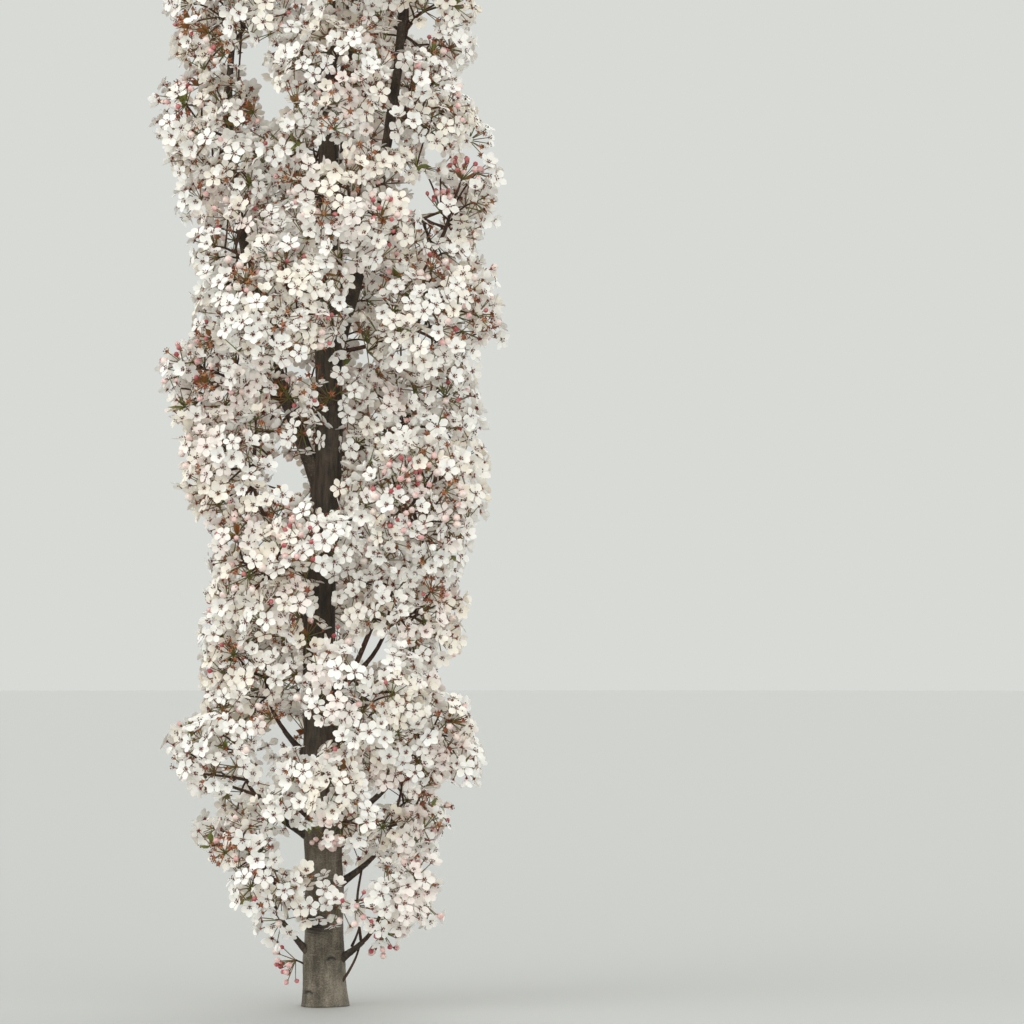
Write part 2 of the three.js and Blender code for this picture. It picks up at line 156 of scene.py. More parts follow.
class Finish:
    """A material whose nodes are added by calls."""

    def __init__(self, name):
        self.material = bpy.data.materials.new(name)
        self.material.use_nodes = True
        self.tree = self.material.node_tree
        self.shader = self.tree.nodes["Principled BSDF"]

    def node(self, kind, settings=None, sockets=None, output=0):
        """Adds a node: its settings first, then the values or links of its sockets."""
        made = self.tree.nodes.new(kind)
        for name, value in (settings or {}).items():
            if name == "stops":
                ramp = made.color_ramp.elements
                while len(ramp) < len(value):
                    ramp.new(0.5)
                for stop, (position, colour) in zip(ramp, value):
                    stop.position, stop.color = position, (*colour, 1)
            else:
                setattr(made, name, value)
        self.feed(made, sockets or {})
        return Signal(self, made.outputs[output])

    def feed(self, node, sockets):
        """Sets or links a node's sockets; a plain colour gets its fourth number."""
        for name, value in sockets.items():
            if isinstance(value, Signal):
                self.tree.links.new(value.socket, node.inputs[name])
            elif isinstance(value, tuple) and len(value) == 3 and node.inputs[name].type == "RGBA":
                node.inputs[name].default_value = (*value, 1)
            else:
                node.inputs[name].default_value = value

    def place(self, stretch=(1, 1, 1)):
        """Object coordinates, stretched by a factor on each axis."""
        coordinates = self.node("ShaderNodeTexCoord", output="Object")
        return self.node("ShaderNodeMapping", {}, {"Vector": coordinates, "Scale": stretch})

    def grain(self, place, per_metre, detail, roughness=0.55):
        """Noise from 0 to 1, with so many waves in a metre."""
        sockets = {"Vector": place, "Scale": per_metre, "Detail": detail, "Roughness": roughness}
        return self.node("ShaderNodeTexNoise", {}, sockets)

    def band(self, signal, low, high):
        """0 below low, 1 above high, and smooth between them."""
        sockets = {"Value": signal, "From Min": low, "From Max": high}
        return self.node("ShaderNodeMapRange", {"interpolation_type": "SMOOTHSTEP"}, sockets)

    def mix(self, factor, first, second):
        """Goes from the first colour to the second as the factor goes from 0 to 1."""
        return self.node("ShaderNodeMix", {"data_type": "RGBA"}, {0: factor, 6: first, 7: second}, output=2)

    def surface(self, colour, roughness, relief=None, depth=0.0):
        """Feeds the shader, and bumps its normal by a relief so many millimetres deep."""
        named = {"Base Color": colour, "Roughness": roughness}
        if relief is not None:
            named["Normal"] = self.node("ShaderNodeBump", {}, {"Height": relief, "Distance": depth * MM})
        self.feed(self.shader, named)
        return self.material


FLOOR_COLOUR, FLOOR_ROUGHNESS = (0.48, 0.49, 0.485), 0.8
floor_mesh.materials.append(Finish("floor_finish").surface(FLOOR_COLOUR, FLOOR_ROUGHNESS))
print("floor finish:", len(floor_mesh.materials[0].node_tree.nodes), "nodes")

# %% [markdown]
# ## Barks
# The bark of a young pear is smooth and grey-brown. It shows faint upright streaks, soft patches of
# lighter grey, and short level pores that are paler than the bark. The older wood is greyer, the limbs are
# darker, and the youngest twigs are brown with a hint of red. High in the crown the trunk turns browner,
# as young bark is, and much darker with painted shade. One rule with other colours and another scale
# makes all three, because they are the same tissue at different ages. An image could show it too, but
# noise needs no seams.

# %% Barks
# how much the pores show, how far the crown's browner bark with its painted shade takes over, and relief
# depth
PORES_SHOW, CROWN_BROWN_AND_SHADE, BARK_DEPTH = 0.4, 0.85, 0.6
# where in their noise the pores and the crown's streaks begin and are full, and where the three tones stand
PORE_BAND, STREAK_BAND, TONE_STOPS = (0.62, 0.72), (0.36, 0.64), (0.41, 0.5, 0.585)
SCAR_COLOUR = (0.016, 0.012, 0.009)
# the young bark high in the crown, darker also with painted shade: its dark and its light streaks, and the
# heights between which it begins
SHADED_CROWN_DARK, SHADED_CROWN_LIGHT, SHADED_CROWN_FROM = (0.007, 0.0045, 0.003), (0.056, 0.039, 0.025), (0.09, 0.30)


def aged_and_shaded(finish, colour, streaks):
    """The trunk's colour: browner in the crown and darker there with painted shade; near black where scars
    are marked.
    """
    height = finish.node("ShaderNodeSeparateXYZ", {}, {"Vector": finish.place()}, output=2)
    crown = finish.mix(finish.band(streaks, *STREAK_BAND), SHADED_CROWN_DARK, SHADED_CROWN_LIGHT)
    colour = finish.mix(finish.band(height, *SHADED_CROWN_FROM) * CROWN_BROWN_AND_SHADE, colour, crown)
    marks = finish.node("ShaderNodeAttribute", {"attribute_name": "marks"}, output="Fac")
    return finish.mix(marks, colour, SCAR_COLOUR)


def bark(name, dark, middle, light, pore, fineness, is_trunk=False):
    finish = Finish(name)
    streaks = finish.grain(finish.place((1, 1, 0.16)), per_metre=190 * fineness, detail=5, roughness=0.62)
    patches = finish.grain(finish.place((1, 1, 0.6)), per_metre=38 * fineness, detail=4)
    specks = finish.grain(finish.place((0.9, 0.9, 1.5)), per_metre=620, detail=3, roughness=0.6)
    level = finish.grain(finish.place((0.3, 0.3, 1.9)), per_metre=150 * fineness, detail=2)
    pores = finish.band(level, *PORE_BAND)
    tone = streaks * 0.24 + patches * 0.46 + specks * 0.30
    stops = list(zip(TONE_STOPS, (dark, middle, light)))
    colour = finish.node("ShaderNodeValToRGB", {"stops": stops}, {0: tone})
    colour = finish.mix(pores * PORES_SHOW, colour, pore)
    if is_trunk:
        colour = aged_and_shaded(finish, colour, streaks)
    relief = streaks * 0.5 + pores * 0.4 + specks * 0.5
    return finish.surface(colour, 0.66 + streaks * 0.28, relief, BARK_DEPTH)


trunk_finish = bark("trunk_bark", (0.052, 0.043, 0.031), (0.134, 0.116, 0.088), (0.255, 0.228, 0.182),
                    (0.30, 0.27, 0.22), fineness=1, is_trunk=True)
limb_finish = bark("limb_bark", (0.016, 0.011, 0.008), (0.044, 0.032, 0.022), (0.100, 0.078, 0.056),
                   (0.14, 0.11, 0.08), fineness=2)
twig_finish = bark("twig_bark", (0.020, 0.010, 0.006), (0.056, 0.028, 0.017), (0.110, 0.062, 0.038),
                   (0.16, 0.11, 0.07), fineness=3)
print("three barks, the trunk's of", len(trunk_finish.node_tree.nodes), "nodes")

# %% [markdown]
# ## Petals and the small parts
# A petal is thin, soft and finely crinkled, white with a warm shade in its folds. The opening petals are
# blushed with pink. A pattern with a place of its own would be muddled when such a large joined piece is
# exported, so each cluster is dealt one of a few plain finishes instead, and within a finish only a faint
# cloudy tone changes.

# %% Petals and the small parts
CLOUD_BAND = (0.35, 0.65)


def soft_finish(name, light, shade, cloud, crinkle, depth, rough):
    """A plain tissue: a cloudy tone between two near colours, and a fine crinkle of a given depth."""
    finish = Finish(name)
    clouds = finish.band(finish.grain(finish.place(), per_metre=cloud, detail=2), *CLOUD_BAND)
    crinkles = finish.grain(finish.place(), per_metre=crinkle, detail=2)
    return finish.surface(finish.mix(clouds, light, shade), rough + crinkles * 0.2, crinkles, depth)


# crinkles in a metre, their depth and the least roughness; before them, for buds and leaves, the clouds
PETAL, BUD, LEAF = (420, 0.4, 0.42), (160, 300, 0.4), (90, 260, 0.6, 0.35)
PETAL_FINISHES = [
    soft_finish("petal_white", (0.90, 0.905, 0.885), (0.885, 0.87, 0.83), 45, *PETAL),
    soft_finish("petal_cream", (0.89, 0.87, 0.81), (0.865, 0.815, 0.72), 45, *PETAL),
    soft_finish("petal_blush", (0.88, 0.80, 0.765), (0.87, 0.84, 0.80), 60, *PETAL),
]
BUD_FINISHES = [
    soft_finish("bud_red", (0.41, 0.060, 0.078), (0.59, 0.20, 0.20), *BUD, 0.35),
    soft_finish("bud_pink", (0.76, 0.40, 0.40), (0.87, 0.69, 0.64), *BUD, 0.35),
    soft_finish("bud_pale", (0.86, 0.65, 0.61), (0.88, 0.80, 0.74), *BUD, 0.38),
]
LEAF_FINISHES = [
    soft_finish("leaf_bronze", (0.30, 0.085, 0.025), (0.22, 0.13, 0.035), *LEAF),
    soft_finish("leaf_olive", (0.13, 0.16, 0.035), (0.21, 0.22, 0.055), *LEAF),
]
stamen_finish = soft_finish("stamen", (0.060, 0.014, 0.010), (0.13, 0.040, 0.022), 300, 500, 0.2, 0.4)
calyx_finish = soft_finish("calyx", (0.18, 0.030, 0.020), (0.30, 0.100, 0.032), 110, 380, 0.3, 0.45)
star_finish = soft_finish("star", (0.36, 0.100, 0.045), (0.48, 0.215, 0.085), 110, 380, 0.3, 0.45)
stalk_finish = soft_finish("stalk", (0.115, 0.138, 0.028), (0.18, 0.100, 0.036), 60, 380, 0.3, 0.45)
print(len(bpy.data.materials), "finishes")

# %% [markdown]
# ## The tree's measures
# These are the values of the part's source, in millimetres, so the dressed tree grows where the solids
# are. The trunk leans through a few points and tapers to its tip. Each limb leaves it at a narrow angle
# and carries one mass. The masses stand in four columns and, past the photograph's top edge, in tiers that
# draw in to a tip.

# %% The tree's measures
TRUNK_HEIGHT, TRUNK_RADIUS, TRUNK_TIP_RADIUS, TRUNK_TAPER_POWER = 1556, 21, 2.4, 1.25
FLARE, FLARE_HEIGHT, ROOT_RIDGES, RIDGE_DEPTH, RIDGE_TURN = 5, 34, 3, 0.09, 0.6
TRUNK_LEAN = [(0, 0, 0), (-1, 1, 170), (-6, 2, 430), (4, -2, 640), (0, -3, 800), (3, 0, 960), (-2, 2, 1300),
              (0, 0, TRUNK_HEIGHT)]
# name, height of the root, mass carried, radius at root and tip, and a leader's bearing and reach
LIMBS = [
    ("leader_left", 552, "top_1", 8.5, 2.6, 184, 130),
    ("leader_right", 690, "top_4", 8, 3.4, 356, 98),
    ("leader_back", 500, "top_2", 7.5, 2.8, 78, 92),
    ("bough_low_right", 40, "right_1", 4.4, 2.6),
    ("bough_low_left", 42, "left_1", 3.8, 2.2),
    ("bough_right_2", 122, "right_2", 4.6, 2.8),
    ("bough_right_3", 186, "right_3", 4.4, 2.8),
    ("bough_left_2", 176, "left_2", 4.6, 2.8),
    ("bough_left_3", 258, "left_3", 4.2, 2.6),
    ("bough_right_4", 330, "right_4", 4.6, 2.8),
    ("bough_left_5", 462, "left_5", 5, 2.8),
    ("bough_back_1", 70, "back_1", 4.4, 2.6),
    ("bough_back_3", 310, "back_3", 4.8, 2.8),
]
LIMB_POINTS, LIMB_TURN_IN, LIMB_STEPS, ENTERS_AT = 12, 4, 8, 0.86
# side, bearing, swings, heights, reaches, half widths
COLUMNS = [
    ("left", 180, (24, 6, -20, 18, -4, -16, 14, -8, 12), (165, 267, 357, 468, 590, 688, 806, 950, 1070),
     (143, 174, 142, 134, 163, 181, 156, 186, 170), (74, 82, 76, 78, 82, 82, 80, 84, 80)),
    ("right", 0, (-22, 16, -14, 12, -20, 16, -10, 14, -18, 12),
     (112, 204, 296, 434, 543, 642, 744, 868, 976, 1078),
     (130, 147, 174, 154, 174, 173, 194, 192, 166, 168), (66, 72, 80, 82, 82, 80, 84, 86, 80, 78)),
    ("front", 270, (0, 30, -14, -34, 20, 4), (216, 338, 512, 758, 866, 1000),
     (134, 146, 118, 150, 148, 146), (68, 74, 54, 82, 78, 80)),
    ("back", 90, (16, -18, 14, -24, 20, -16, 18, -20), (182, 304, 426, 548, 668, 788, 908, 1026),
     (146, 158, 152, 160, 162, 158, 164, 158), (76, 84, 84, 84, 82, 84, 84, 82)),
]
TIER_COUNTS, TIER_BASE, TIER_RISE, TIER_REACH, TIER_HALF_WIDTH = (3, 3, 3, 2, 1), 1176, 112, 166, 88
TIER_BEARINGS, CROWN_TIP, TIER_STEP, TIER_NARROWING = (180, 0, 200, 330, 0), 1610, 16, 0.24
DRAW_IN, DRAW_IN_POWER = 0.56, 1.8
STEM_DROP, STEM_LEAST, STEM_BEND_OUT, STEM_BEND_UP = 0.7, 16, 0.7, 0.4
STEM_STEPS, STEM_OVERLAP = 6, 2
LEADERS, LEADER_STOPS, LEADER_END = ("leader_left", "leader_right", "leader_back"), 40, 4
UP = np.array([0.0, 0, 1])
print(len(LIMBS), "limbs,", len(COLUMNS), "columns of masses and", len(TIER_COUNTS), "tiers")

# %% [markdown]
# ## Curves and spaces
# A limb could be drawn point by point, but a rule keeps it in step with the solids: it leans out and then
# turns up to its mass. Each mass has a ball of space, and neighbours share a flat border where their balls
# cross.

# %% Curves and spaces
def unit(vector):
    return vector / max(np.linalg.norm(vector), 1e-9)


def around(bearing, distance, height):
    """A point at a distance and bearing from the trunk's foot, at a height."""
    angle = math.radians(bearing)
    return np.array([math.cos(angle) * distance, math.sin(angle) * distance, height])


def run(first, last, t, start, end):
    """Where t is on the way from the first point, at start, to the last one, at end."""
    return first + (last - first) * (t - start) / (end - start)


def smooth_path(points, steps):
    """A smooth curve through the points, as a polyline with so many steps between two of them."""
    points = [np.array(point, float) for point in points]
    ends = [2 * points[0] - points[1], *points, 2 * points[-1] - points[-2]]
    path = []
    for a, b, c, d in zip(ends, ends[1:], ends[2:], ends[3:]):
        gaps = [math.sqrt(np.linalg.norm(q - p)) for p, q in ((a, b), (b, c), (c, d))]
        k0, k1, k2, k3 = np.cumsum([0, *gaps])
        for t in np.linspace(k1, k2, steps, endpoint=False):
            ab, bc, cd = run(a, b, t, k0, k1), run(b, c, t, k1, k2), run(c, d, t, k2, k3)
            left, right = run(ab, bc, t, k0, k2), run(bc, cd, t, k1, k3)
            path.append(run(left, right, t, k1, k2))
    return np.array([*path, points[-1]])


def even_path(path, spacing):
    """The same polyline with its points evenly spaced, and the share of its length at each one."""
    lengths = np.concatenate([[0], np.cumsum(np.linalg.norm(np.diff(path, axis=0), axis=1))])
    shares = np.linspace(0, 1, max(2, round(lengths[-1] / spacing) + 1))
    spots = shares * lengths[-1]
    return np.stack([np.interp(spots, lengths, path[:, k]) for k in range(3)], axis=1), shares


def bent_path(start, bend, end, steps):
    """A curve from start to end that leans towards the bend."""
    t = np.linspace(0, 1, steps + 1)[:, None]
    return (1 - t) ** 2 * start + 2 * t * (1 - t) * bend + t * t * end


trunk_path = smooth_path(TRUNK_LEAN, steps=24)


def trunk_point(height):
    return np.array([*(np.interp(height, trunk_path[:, 2], trunk_path[:, k]) for k in (0, 1)), height])


def trunk_radius(height, angle=0.0):
    taper = 1 - min(height / TRUNK_HEIGHT, 1) ** TRUNK_TAPER_POWER
    foot = math.exp(-height / FLARE_HEIGHT)
    ridges = 1 + RIDGE_DEPTH * foot * math.cos(ROOT_RIDGES * angle + RIDGE_TURN)
    return (TRUNK_TIP_RADIUS + (TRUNK_RADIUS - TRUNK_TIP_RADIUS) * taper + FLARE * foot) * ridges


@dataclass(eq=False)
class Space:
    """A ball of room for one mass."""
    name: str
    middle: np.ndarray
    half_width: float
    neighbours: list = field(default_factory=list)


def mass_spaces():
    made = []
    for side, bearing, *rows in COLUMNS:
        for i, (swing, height, reach, half_width) in enumerate(zip(*rows)):
            out = (reach - half_width) / math.cos(math.radians(swing))
            made.append(Space(f"{side}_{i + 1}", around(bearing + swing, out, height), half_width))
    number = 0
    for tier, count in enumerate(TIER_COUNTS):
        height = min(TIER_BASE + TIER_RISE * tier, CROWN_TIP)
        risen = (height - TIER_BASE) / (CROWN_TIP - TIER_BASE)
        reach = TIER_REACH * (1 - DRAW_IN * risen ** DRAW_IN_POWER)
        half_width = TIER_HALF_WIDTH * (1 - TIER_NARROWING * risen)
        for i in range(count):
            number += 1
            out = 0 if count == 1 else reach - half_width
            step = 0 if count == 1 else TIER_STEP * (i % 2 - 1 / 2)
            middle = around(TIER_BEARINGS[tier] + 360 / count * i, out, height + step)
            made.append(Space(f"top_{number}", middle, half_width))
    return made


spaces = mass_spaces()
for space in spaces:
    for other in spaces:
        apart = np.linalg.norm(other.middle - space.middle)
        if 0 < apart < space.half_width + other.half_width:
            space.neighbours.append(other)


def power(point, space):
    """0 on the surface of a space's ball, and negative inside it."""
    return np.sum((point - space.middle) ** 2) - space.half_width ** 2


def room(direction, space):
    """How far a line from a space's middle runs before it meets the ball or a border."""
    nearest = space.half_width
    for other in space.neighbours:
        towards = np.dot(other.middle - space.middle, direction)
        if towards > 0:
            gap = power(space.middle, other) - power(space.middle, space)
            nearest = min(nearest, gap / (2 * towards))
    return nearest


def limb_path(root, carries, bearing=None, reach=None):
    """A limb's curve: out from the trunk, up, and on until it enters the mass that it carries."""
    space = next(space for space in spaces if space.name == carries)
    start, end = trunk_point(root), space.middle
    bend = end if bearing is None else around(bearing, reach, end[2])
    points = []
    for i in range(LIMB_POINTS + 1):
        share = i / LIMB_POINTS
        aim = bend + (end - bend) * share ** LIMB_TURN_IN
        point = start + (aim - start) * (1 - (1 - share) ** 2)
        point[2] = start[2] + (end[2] - start[2]) * share
        points.append(point)
        if np.linalg.norm(point - space.middle) < ENTERS_AT * space.half_width:
            break
    return smooth_path(points, LIMB_STEPS)


limb_paths = {name: limb_path(root, carries, *leader) for name, root, carries, _, _, *leader in LIMBS}


def stem_path(space):
    """A mass's stem: on from its limb's or the trunk's tip, or else out from the trunk or a leader."""
    carrier = next((limb_paths[limb[0]] for limb in LIMBS if limb[2] == space.name), None)
    if space is spaces[-1]:
        carrier = trunk_path
    if carrier is not None:
        ahead = unit(carrier[-1] - carrier[-2])
        bend = carrier[-1] + ahead * np.linalg.norm(space.middle - carrier[-1]) / 2
        return bent_path(carrier[-1] - ahead * STEM_OVERLAP, bend, space.middle, STEM_STEPS)
    drop = STEM_DROP * math.hypot(*space.middle[:2])
    foot = trunk_point(min(max(space.middle[2] - drop, STEM_LEAST), TRUNK_HEIGHT))
    for name in LEADERS:
        path = limb_paths[name]
        for point in path[len(path) // LEADER_STOPS * 2:-LEADER_END]:
            nearer = np.linalg.norm(point - space.middle) + STEM_LEAST < np.linalg.norm(foot - space.middle)
            if point[2] < space.middle[2] and nearer:
                foot = point
    bend = foot + (space.middle - foot) * STEM_BEND_OUT
    bend[2] = foot[2] + (space.middle[2] - foot[2]) * STEM_BEND_UP
    return bent_path(foot, bend, space.middle, STEM_STEPS)


stem_paths = [stem_path(space) for space in spaces]
print(len(spaces), "masses and", len(limb_paths), "limbs")

# %% [markdown]
# ## The trunk and its bark's relief
# The real trunk is smooth but not perfect: low upright ridges, level wrinkles round the scar of a pruned
# branch, two crescent scars near the ground, and a swollen collar under each limb. A bump in the material
# would fade on the trunk's outline, so the relief is real: the trunk is a tube of many level rings, and a
# function of the angle and the height moves each point in or out by parts of a millimetre.

# %% The trunk and its bark's relief
TRUNK_SIDES = 80
# from this height to that one, with a ring of points every so many millimetres
TRUNK_ROWS = [(0, 180, 1.3), (180, 720, 3), (720, TRUNK_HEIGHT, 7)]
RELIEF_FADE, RELIEF_LEAST = 40, 0.1
# the ridges: how high, how wide and how long their waves are, and the waves' seed
RIDGES = [(0.42, 4.2, 46, 3), (0.2, 1.7, 15, 8), (0.9, 30, 70, 21)]
PORE_HEIGHT, PORE_WAVE = 0.22, (9, 1.5, 5)
COLLAR_RISE, COLLAR_SPREAD, COLLAR_BELOW, COLLAR_SQUEEZE = 1.7, 15, 8, 0.8
SCAR_ANGLE, SCAR_HEIGHT, SCAR_RADIUS, SCAR_SQUEEZE = math.radians(241), 89, 11, 1.15
SCAR_RIM, SCAR_HOLLOW, SCAR_DARK = (2.1, 3.2), (1.8, 5.5), (0.85, 11)
WRINKLES_IN_MM, WRINKLE_SLOPE, WRINKLE_HEIGHT, WRINKLE_SPREAD, WRINKLE_DARK = 1.9, 0.12, 0.6, 17, 0.7
# bearing, height and width of the crescent scars
CRESCENTS = [(math.radians(293), 53, 8), (math.radians(228), 16, 9)]
LIP_RISE, LIP_FALL, LIP_APART, LIP_DARK = (1.2, 1.5), (1.2, 1.9), 2.8, 0.9
RING_HEIGHT, RING_RISE, RING_WIDTH, RING_DARK = 646, 0.7, 3.5, 0.45


def tube(rings, first=0):
    """Points and faces of a closed tube through rings of points, turned anticlockwise about its path."""
    count, sides = len(rings), len(rings[0])
    grid = first + np.arange(count * sides).reshape(count, sides)
    across = np.roll(grid, -1, axis=1)
    quads = np.stack([grid[:-1], across[:-1], across[1:], grid[1:]], axis=-1).reshape(-1, 4)
    faces = [tuple(quad) for quad in quads.tolist()]
    points = [point for ring in rings for point in ring]
    for ring, row in ((rings[0], grid[0][::-1]), (rings[-1], grid[-1])):
        middle = first + len(points)
        points.append(np.mean(ring, axis=0))
        faces += [(int(a), int(b), middle) for a, b in zip(row, np.roll(row, -1))]
    return points, faces


def mesh_of(name, points, faces, finish):
    mesh = bpy.data.meshes.new(name)
    mesh.from_pydata((np.array(points) * MM).tolist(), [], faces)
    mesh.shade_smooth()
    mesh.materials.append(finish)
    mesh.validate()
    return mesh


def ripple(x, y, z, across, along, seed):
    """Smooth noise from about -1 to 1; across and along are its waves on the level and upwards."""
    return noise.noise(Vector((x / across + seed, y / across - seed, z / along)))


def hill(distance, height, width):
    """A height that fades away to both sides, with half of it gone a little before the width."""
    return height * math.exp(-(distance / width) ** 2)


def on_trunk(angle, other_angle, height, other_height, radius):
    """How far apart two places on the trunk are, sideways and upwards, in millimetres."""
    turn = (angle - other_angle + math.pi) % (2 * math.pi) - math.pi
    return turn * radius, height - other_height


limb_exits = [(math.atan2(path[-1][1] - path[0][1], path[-1][0] - path[0][0]), limb[1])
              for limb, path in zip(LIMBS, limb_paths.values())]


def scars(angle, height, radius):
    """How far a place is from the pruned scar, how far above it, and how high the crescents' lips are."""
    aside, above = on_trunk(angle, SCAR_ANGLE, height, SCAR_HEIGHT, radius)
    lip = 0.0
    for turn, middle, width in CRESCENTS:
        beside, over = on_trunk(angle, turn, height, middle, radius)
        arc = math.hypot(beside, over + width * 0.6) - width
        if over > -width * 0.3:
            lip += hill(arc, *LIP_RISE) - hill(arc + LIP_APART, *LIP_FALL)
    return math.hypot(aside, above * SCAR_SQUEEZE), above + WRINKLE_SLOPE * aside, lip


def trunk_marks(angle, height):
    """How dark the bark is: in the scar's hollow and wrinkles, the crescents and the ring scar."""
    away, above, lip = scars(angle, height, trunk_radius(height, angle))
    wrinkles = (0.5 + 0.5 * math.sin(above * WRINKLES_IN_MM)) * math.exp(-(away / 15) ** 4)
    ring = hill(height - RING_HEIGHT, RING_DARK, RING_WIDTH)
    return min(1, hill(away, *SCAR_DARK) + WRINKLE_DARK * wrinkles + LIP_DARK * max(0, -lip) + ring)


def trunk_relief(angle, height):
    """How far the bark stands out at an angle and a height."""
    radius = trunk_radius(height, angle)
    x, y = radius * math.cos(angle), radius * math.sin(angle)
    relief = sum(rise * ripple(x, y, height, *wave) for rise, *wave in RIDGES)
    relief += PORE_HEIGHT * math.sqrt(max(0.0, ripple(x, y, height, *PORE_WAVE)))
    for bearing, root in limb_exits:
        aside, above = on_trunk(angle, bearing, height, root + COLLAR_BELOW, radius)
        if abs(above) < 3 * COLLAR_SPREAD:
            relief += hill(math.hypot(aside, above * COLLAR_SQUEEZE), COLLAR_RISE, COLLAR_SPREAD)
    away, above, lip = scars(angle, height, radius)
    relief += hill(away - SCAR_RADIUS, *SCAR_RIM) - hill(away, *SCAR_HOLLOW)
    relief += math.sin(above * WRINKLES_IN_MM) * hill(away, WRINKLE_HEIGHT, WRINKLE_SPREAD) + lip
    return relief + hill(height - RING_HEIGHT, RING_RISE, RING_WIDTH)


angles = np.linspace(0, 2 * math.pi, TRUNK_SIDES, endpoint=False)
heights = np.concatenate([np.arange(*rows) for rows in TRUNK_ROWS] + [[TRUNK_HEIGHT]])
trunk_rings = []
for height in heights:
    faded = min(1, (TRUNK_HEIGHT - height) / RELIEF_FADE + RELIEF_LEAST)
    radii = [trunk_radius(height, angle) + trunk_relief(angle, height) * faded for angle in angles]
    level = [np.array([radius * math.cos(a), radius * math.sin(a), 0]) for radius, a in zip(radii, angles)]
    trunk_rings.append([trunk_point(height) + point for point in level])
trunk_mesh = mesh_of("trunk_bark", *tube(trunk_rings), trunk_finish)
marks = [trunk_marks(angle, height) for height in heights for angle in angles]
marks += [0.0] * (len(trunk_mesh.vertices) - len(marks))
trunk_mesh.attributes.new("marks", "FLOAT", "POINT").data.foreach_set("value", marks)
print("trunk:", len(trunk_mesh.polygons), "faces")

# %% [markdown]
# ## The limbs
# A limb is a tapering tube too, but its rings stand across a curved path, so each ring's frame is carried
# on from the one before, which keeps the tube from twisting. It is thickest in its collar on the trunk.
# Low rings round it are the scars of each year's bud, and the wood between them swells and thins a little.

# %% The limbs
LIMB_SIDES, LIMB_SPACING = 14, 2.4
LIMB_COLLAR, LIMB_COLLAR_LENGTH = 2.6, 9
RING_SCAR_EVERY, RING_SCAR_RISE, RING_SCAR_WIDTH = 31, 0.3, 1.7
# the swellings: what share of the radius they are, their waves, and how the limbs' seeds are told apart
SWELLINGS = [(0.10, 9, 22, 0), (0.05, 2, 7, 5)]
SLOPE_STEPS, LEAST_SLOPE = 4, 0.5
ASLANT = (0.3, 0.9, 0.2)


def rings_along(path, radius_at, sides):
    """Rings of points across a path; radius_at takes the point's number and the angle round the path."""
    tangents = np.gradient(path, axis=0)
    across = unit(np.cross(tangents[0], ASLANT))
    rings = []
    for i, (point, tangent) in enumerate(zip(path, tangents)):
        ahead = unit(tangent)
        across = unit(across - np.dot(across, ahead) * ahead)
        beside = np.cross(ahead, across)
        turns = np.linspace(0, 2 * math.pi, sides, endpoint=False)
        ways = [math.cos(a) * across + math.sin(a) * beside for a in turns]
        rings.append([point + radius_at(i, a) * way for a, way in zip(turns, ways)])
    return rings


def limb_tube(limb, first):
    """One limb's points and faces, with their numbers from the first one on."""
    name, root, _, thick, thin, *_ = limb
    path, shares = even_path(limb_paths[name], LIMB_SPACING)
    slope = np.linalg.norm(path[SLOPE_STEPS] - path[0]) / (SLOPE_STEPS * LIMB_SPACING)
    start = trunk_radius(root) / max(slope, LEAST_SLOPE)

    def radius_at(i, angle):
        run = shares[i] * len(path) * LIMB_SPACING
        radius = thick + (thin - thick) * shares[i]
        x, y = radius * math.cos(angle), radius * math.sin(angle)
        scar = hill((run + root) % RING_SCAR_EVERY - RING_SCAR_EVERY / 2, RING_SCAR_RISE, RING_SCAR_WIDTH)
        collar = LIMB_COLLAR * math.exp(-max(0, run - start) / LIMB_COLLAR_LENGTH)
        swell = 1
        for share, across, along, seed in SWELLINGS:
            swell += share * ripple(x, y, run, across, along, root + seed)
        return radius * swell + scar + collar

    return tube(rings_along(path, radius_at, LIMB_SIDES), first)


limb_points, limb_faces = [], []
for limb in LIMBS:
    points, faces = limb_tube(limb, len(limb_points))
    limb_points += points
    limb_faces += faces
limb_mesh = mesh_of("limb_bark", limb_points, limb_faces, limb_finish)
print("limbs:", len(limb_mesh.polygons), "faces")

# %% [markdown]
# ## Where clusters of flowers stand
# A pear bears its flowers in clusters on short spurs. A twig to each cluster could be drawn at random, but
# then some places would be bare and others crowded. Here the masses' main twigs point as the source's do,
# on a spiral that spreads them evenly. Spurs along the wood, a grid over the crown's face and a finer
# spiral round each mass offer more places, and one is taken only where no cluster is near. Fans of buds or
# bare stars that catch the eye in the photograph, the spurs on the trunk and the outline's furthest tips
# are listed one by one, and so are a few young shoots. Where the photograph shows sky or trunk through the
# crown, no place is taken: two tables of ellipses say where that is.

# %% Where clusters of flowers stand
SEED, SPRAYS, INWARD_LIMIT, OUTWARD_LIFT, JITTER = 1000, 13, 0.1, 30, 0.1
CORE_DRAWS = 30
GOLDEN_ANGLE = math.pi * (3 - math.sqrt(5))
# the least room in a direction, how far a spur ends from the mass's surface and from a border, and how much
# further in it may stand
LEAST_ROOM, CLUSTER_REACH, BORDER_REACH, PULL_BACK = 24, 25, 6, 13
WOOD_CLEARANCE, TRUNK_STEP, LIMB_STEP, SHOOT_STEPS = 13, 8, 6, 5
# how far clusters stand apart: on the outside, where they are hidden, and on the crown's face
CLUSTER_SPACING, HIDDEN_SPACING, FACE_SPACING = 25, 44, 21
# shares of a cluster's direction from its twig, from the way out and from straight up, and its shake
TWIG_SHARE, OUT_SHARE, UP_SHARE, AXIS_SHAKE = 0.62, 0.12, 0.34, 0.12
# spurs along the wood: how often, how far out, from what share of the radius, and how they lean
SPUR_EVERY, SPUR_OUT, TRUNK_SHARE, LIMB_SHARE = 16, (15, 31), 0.75, 0.7
SPUR_AHEAD, SPUR_SHAKE, SPUR_LIFT, SPUR_INSIDE = 0.45, 0.1, 0.2, 20
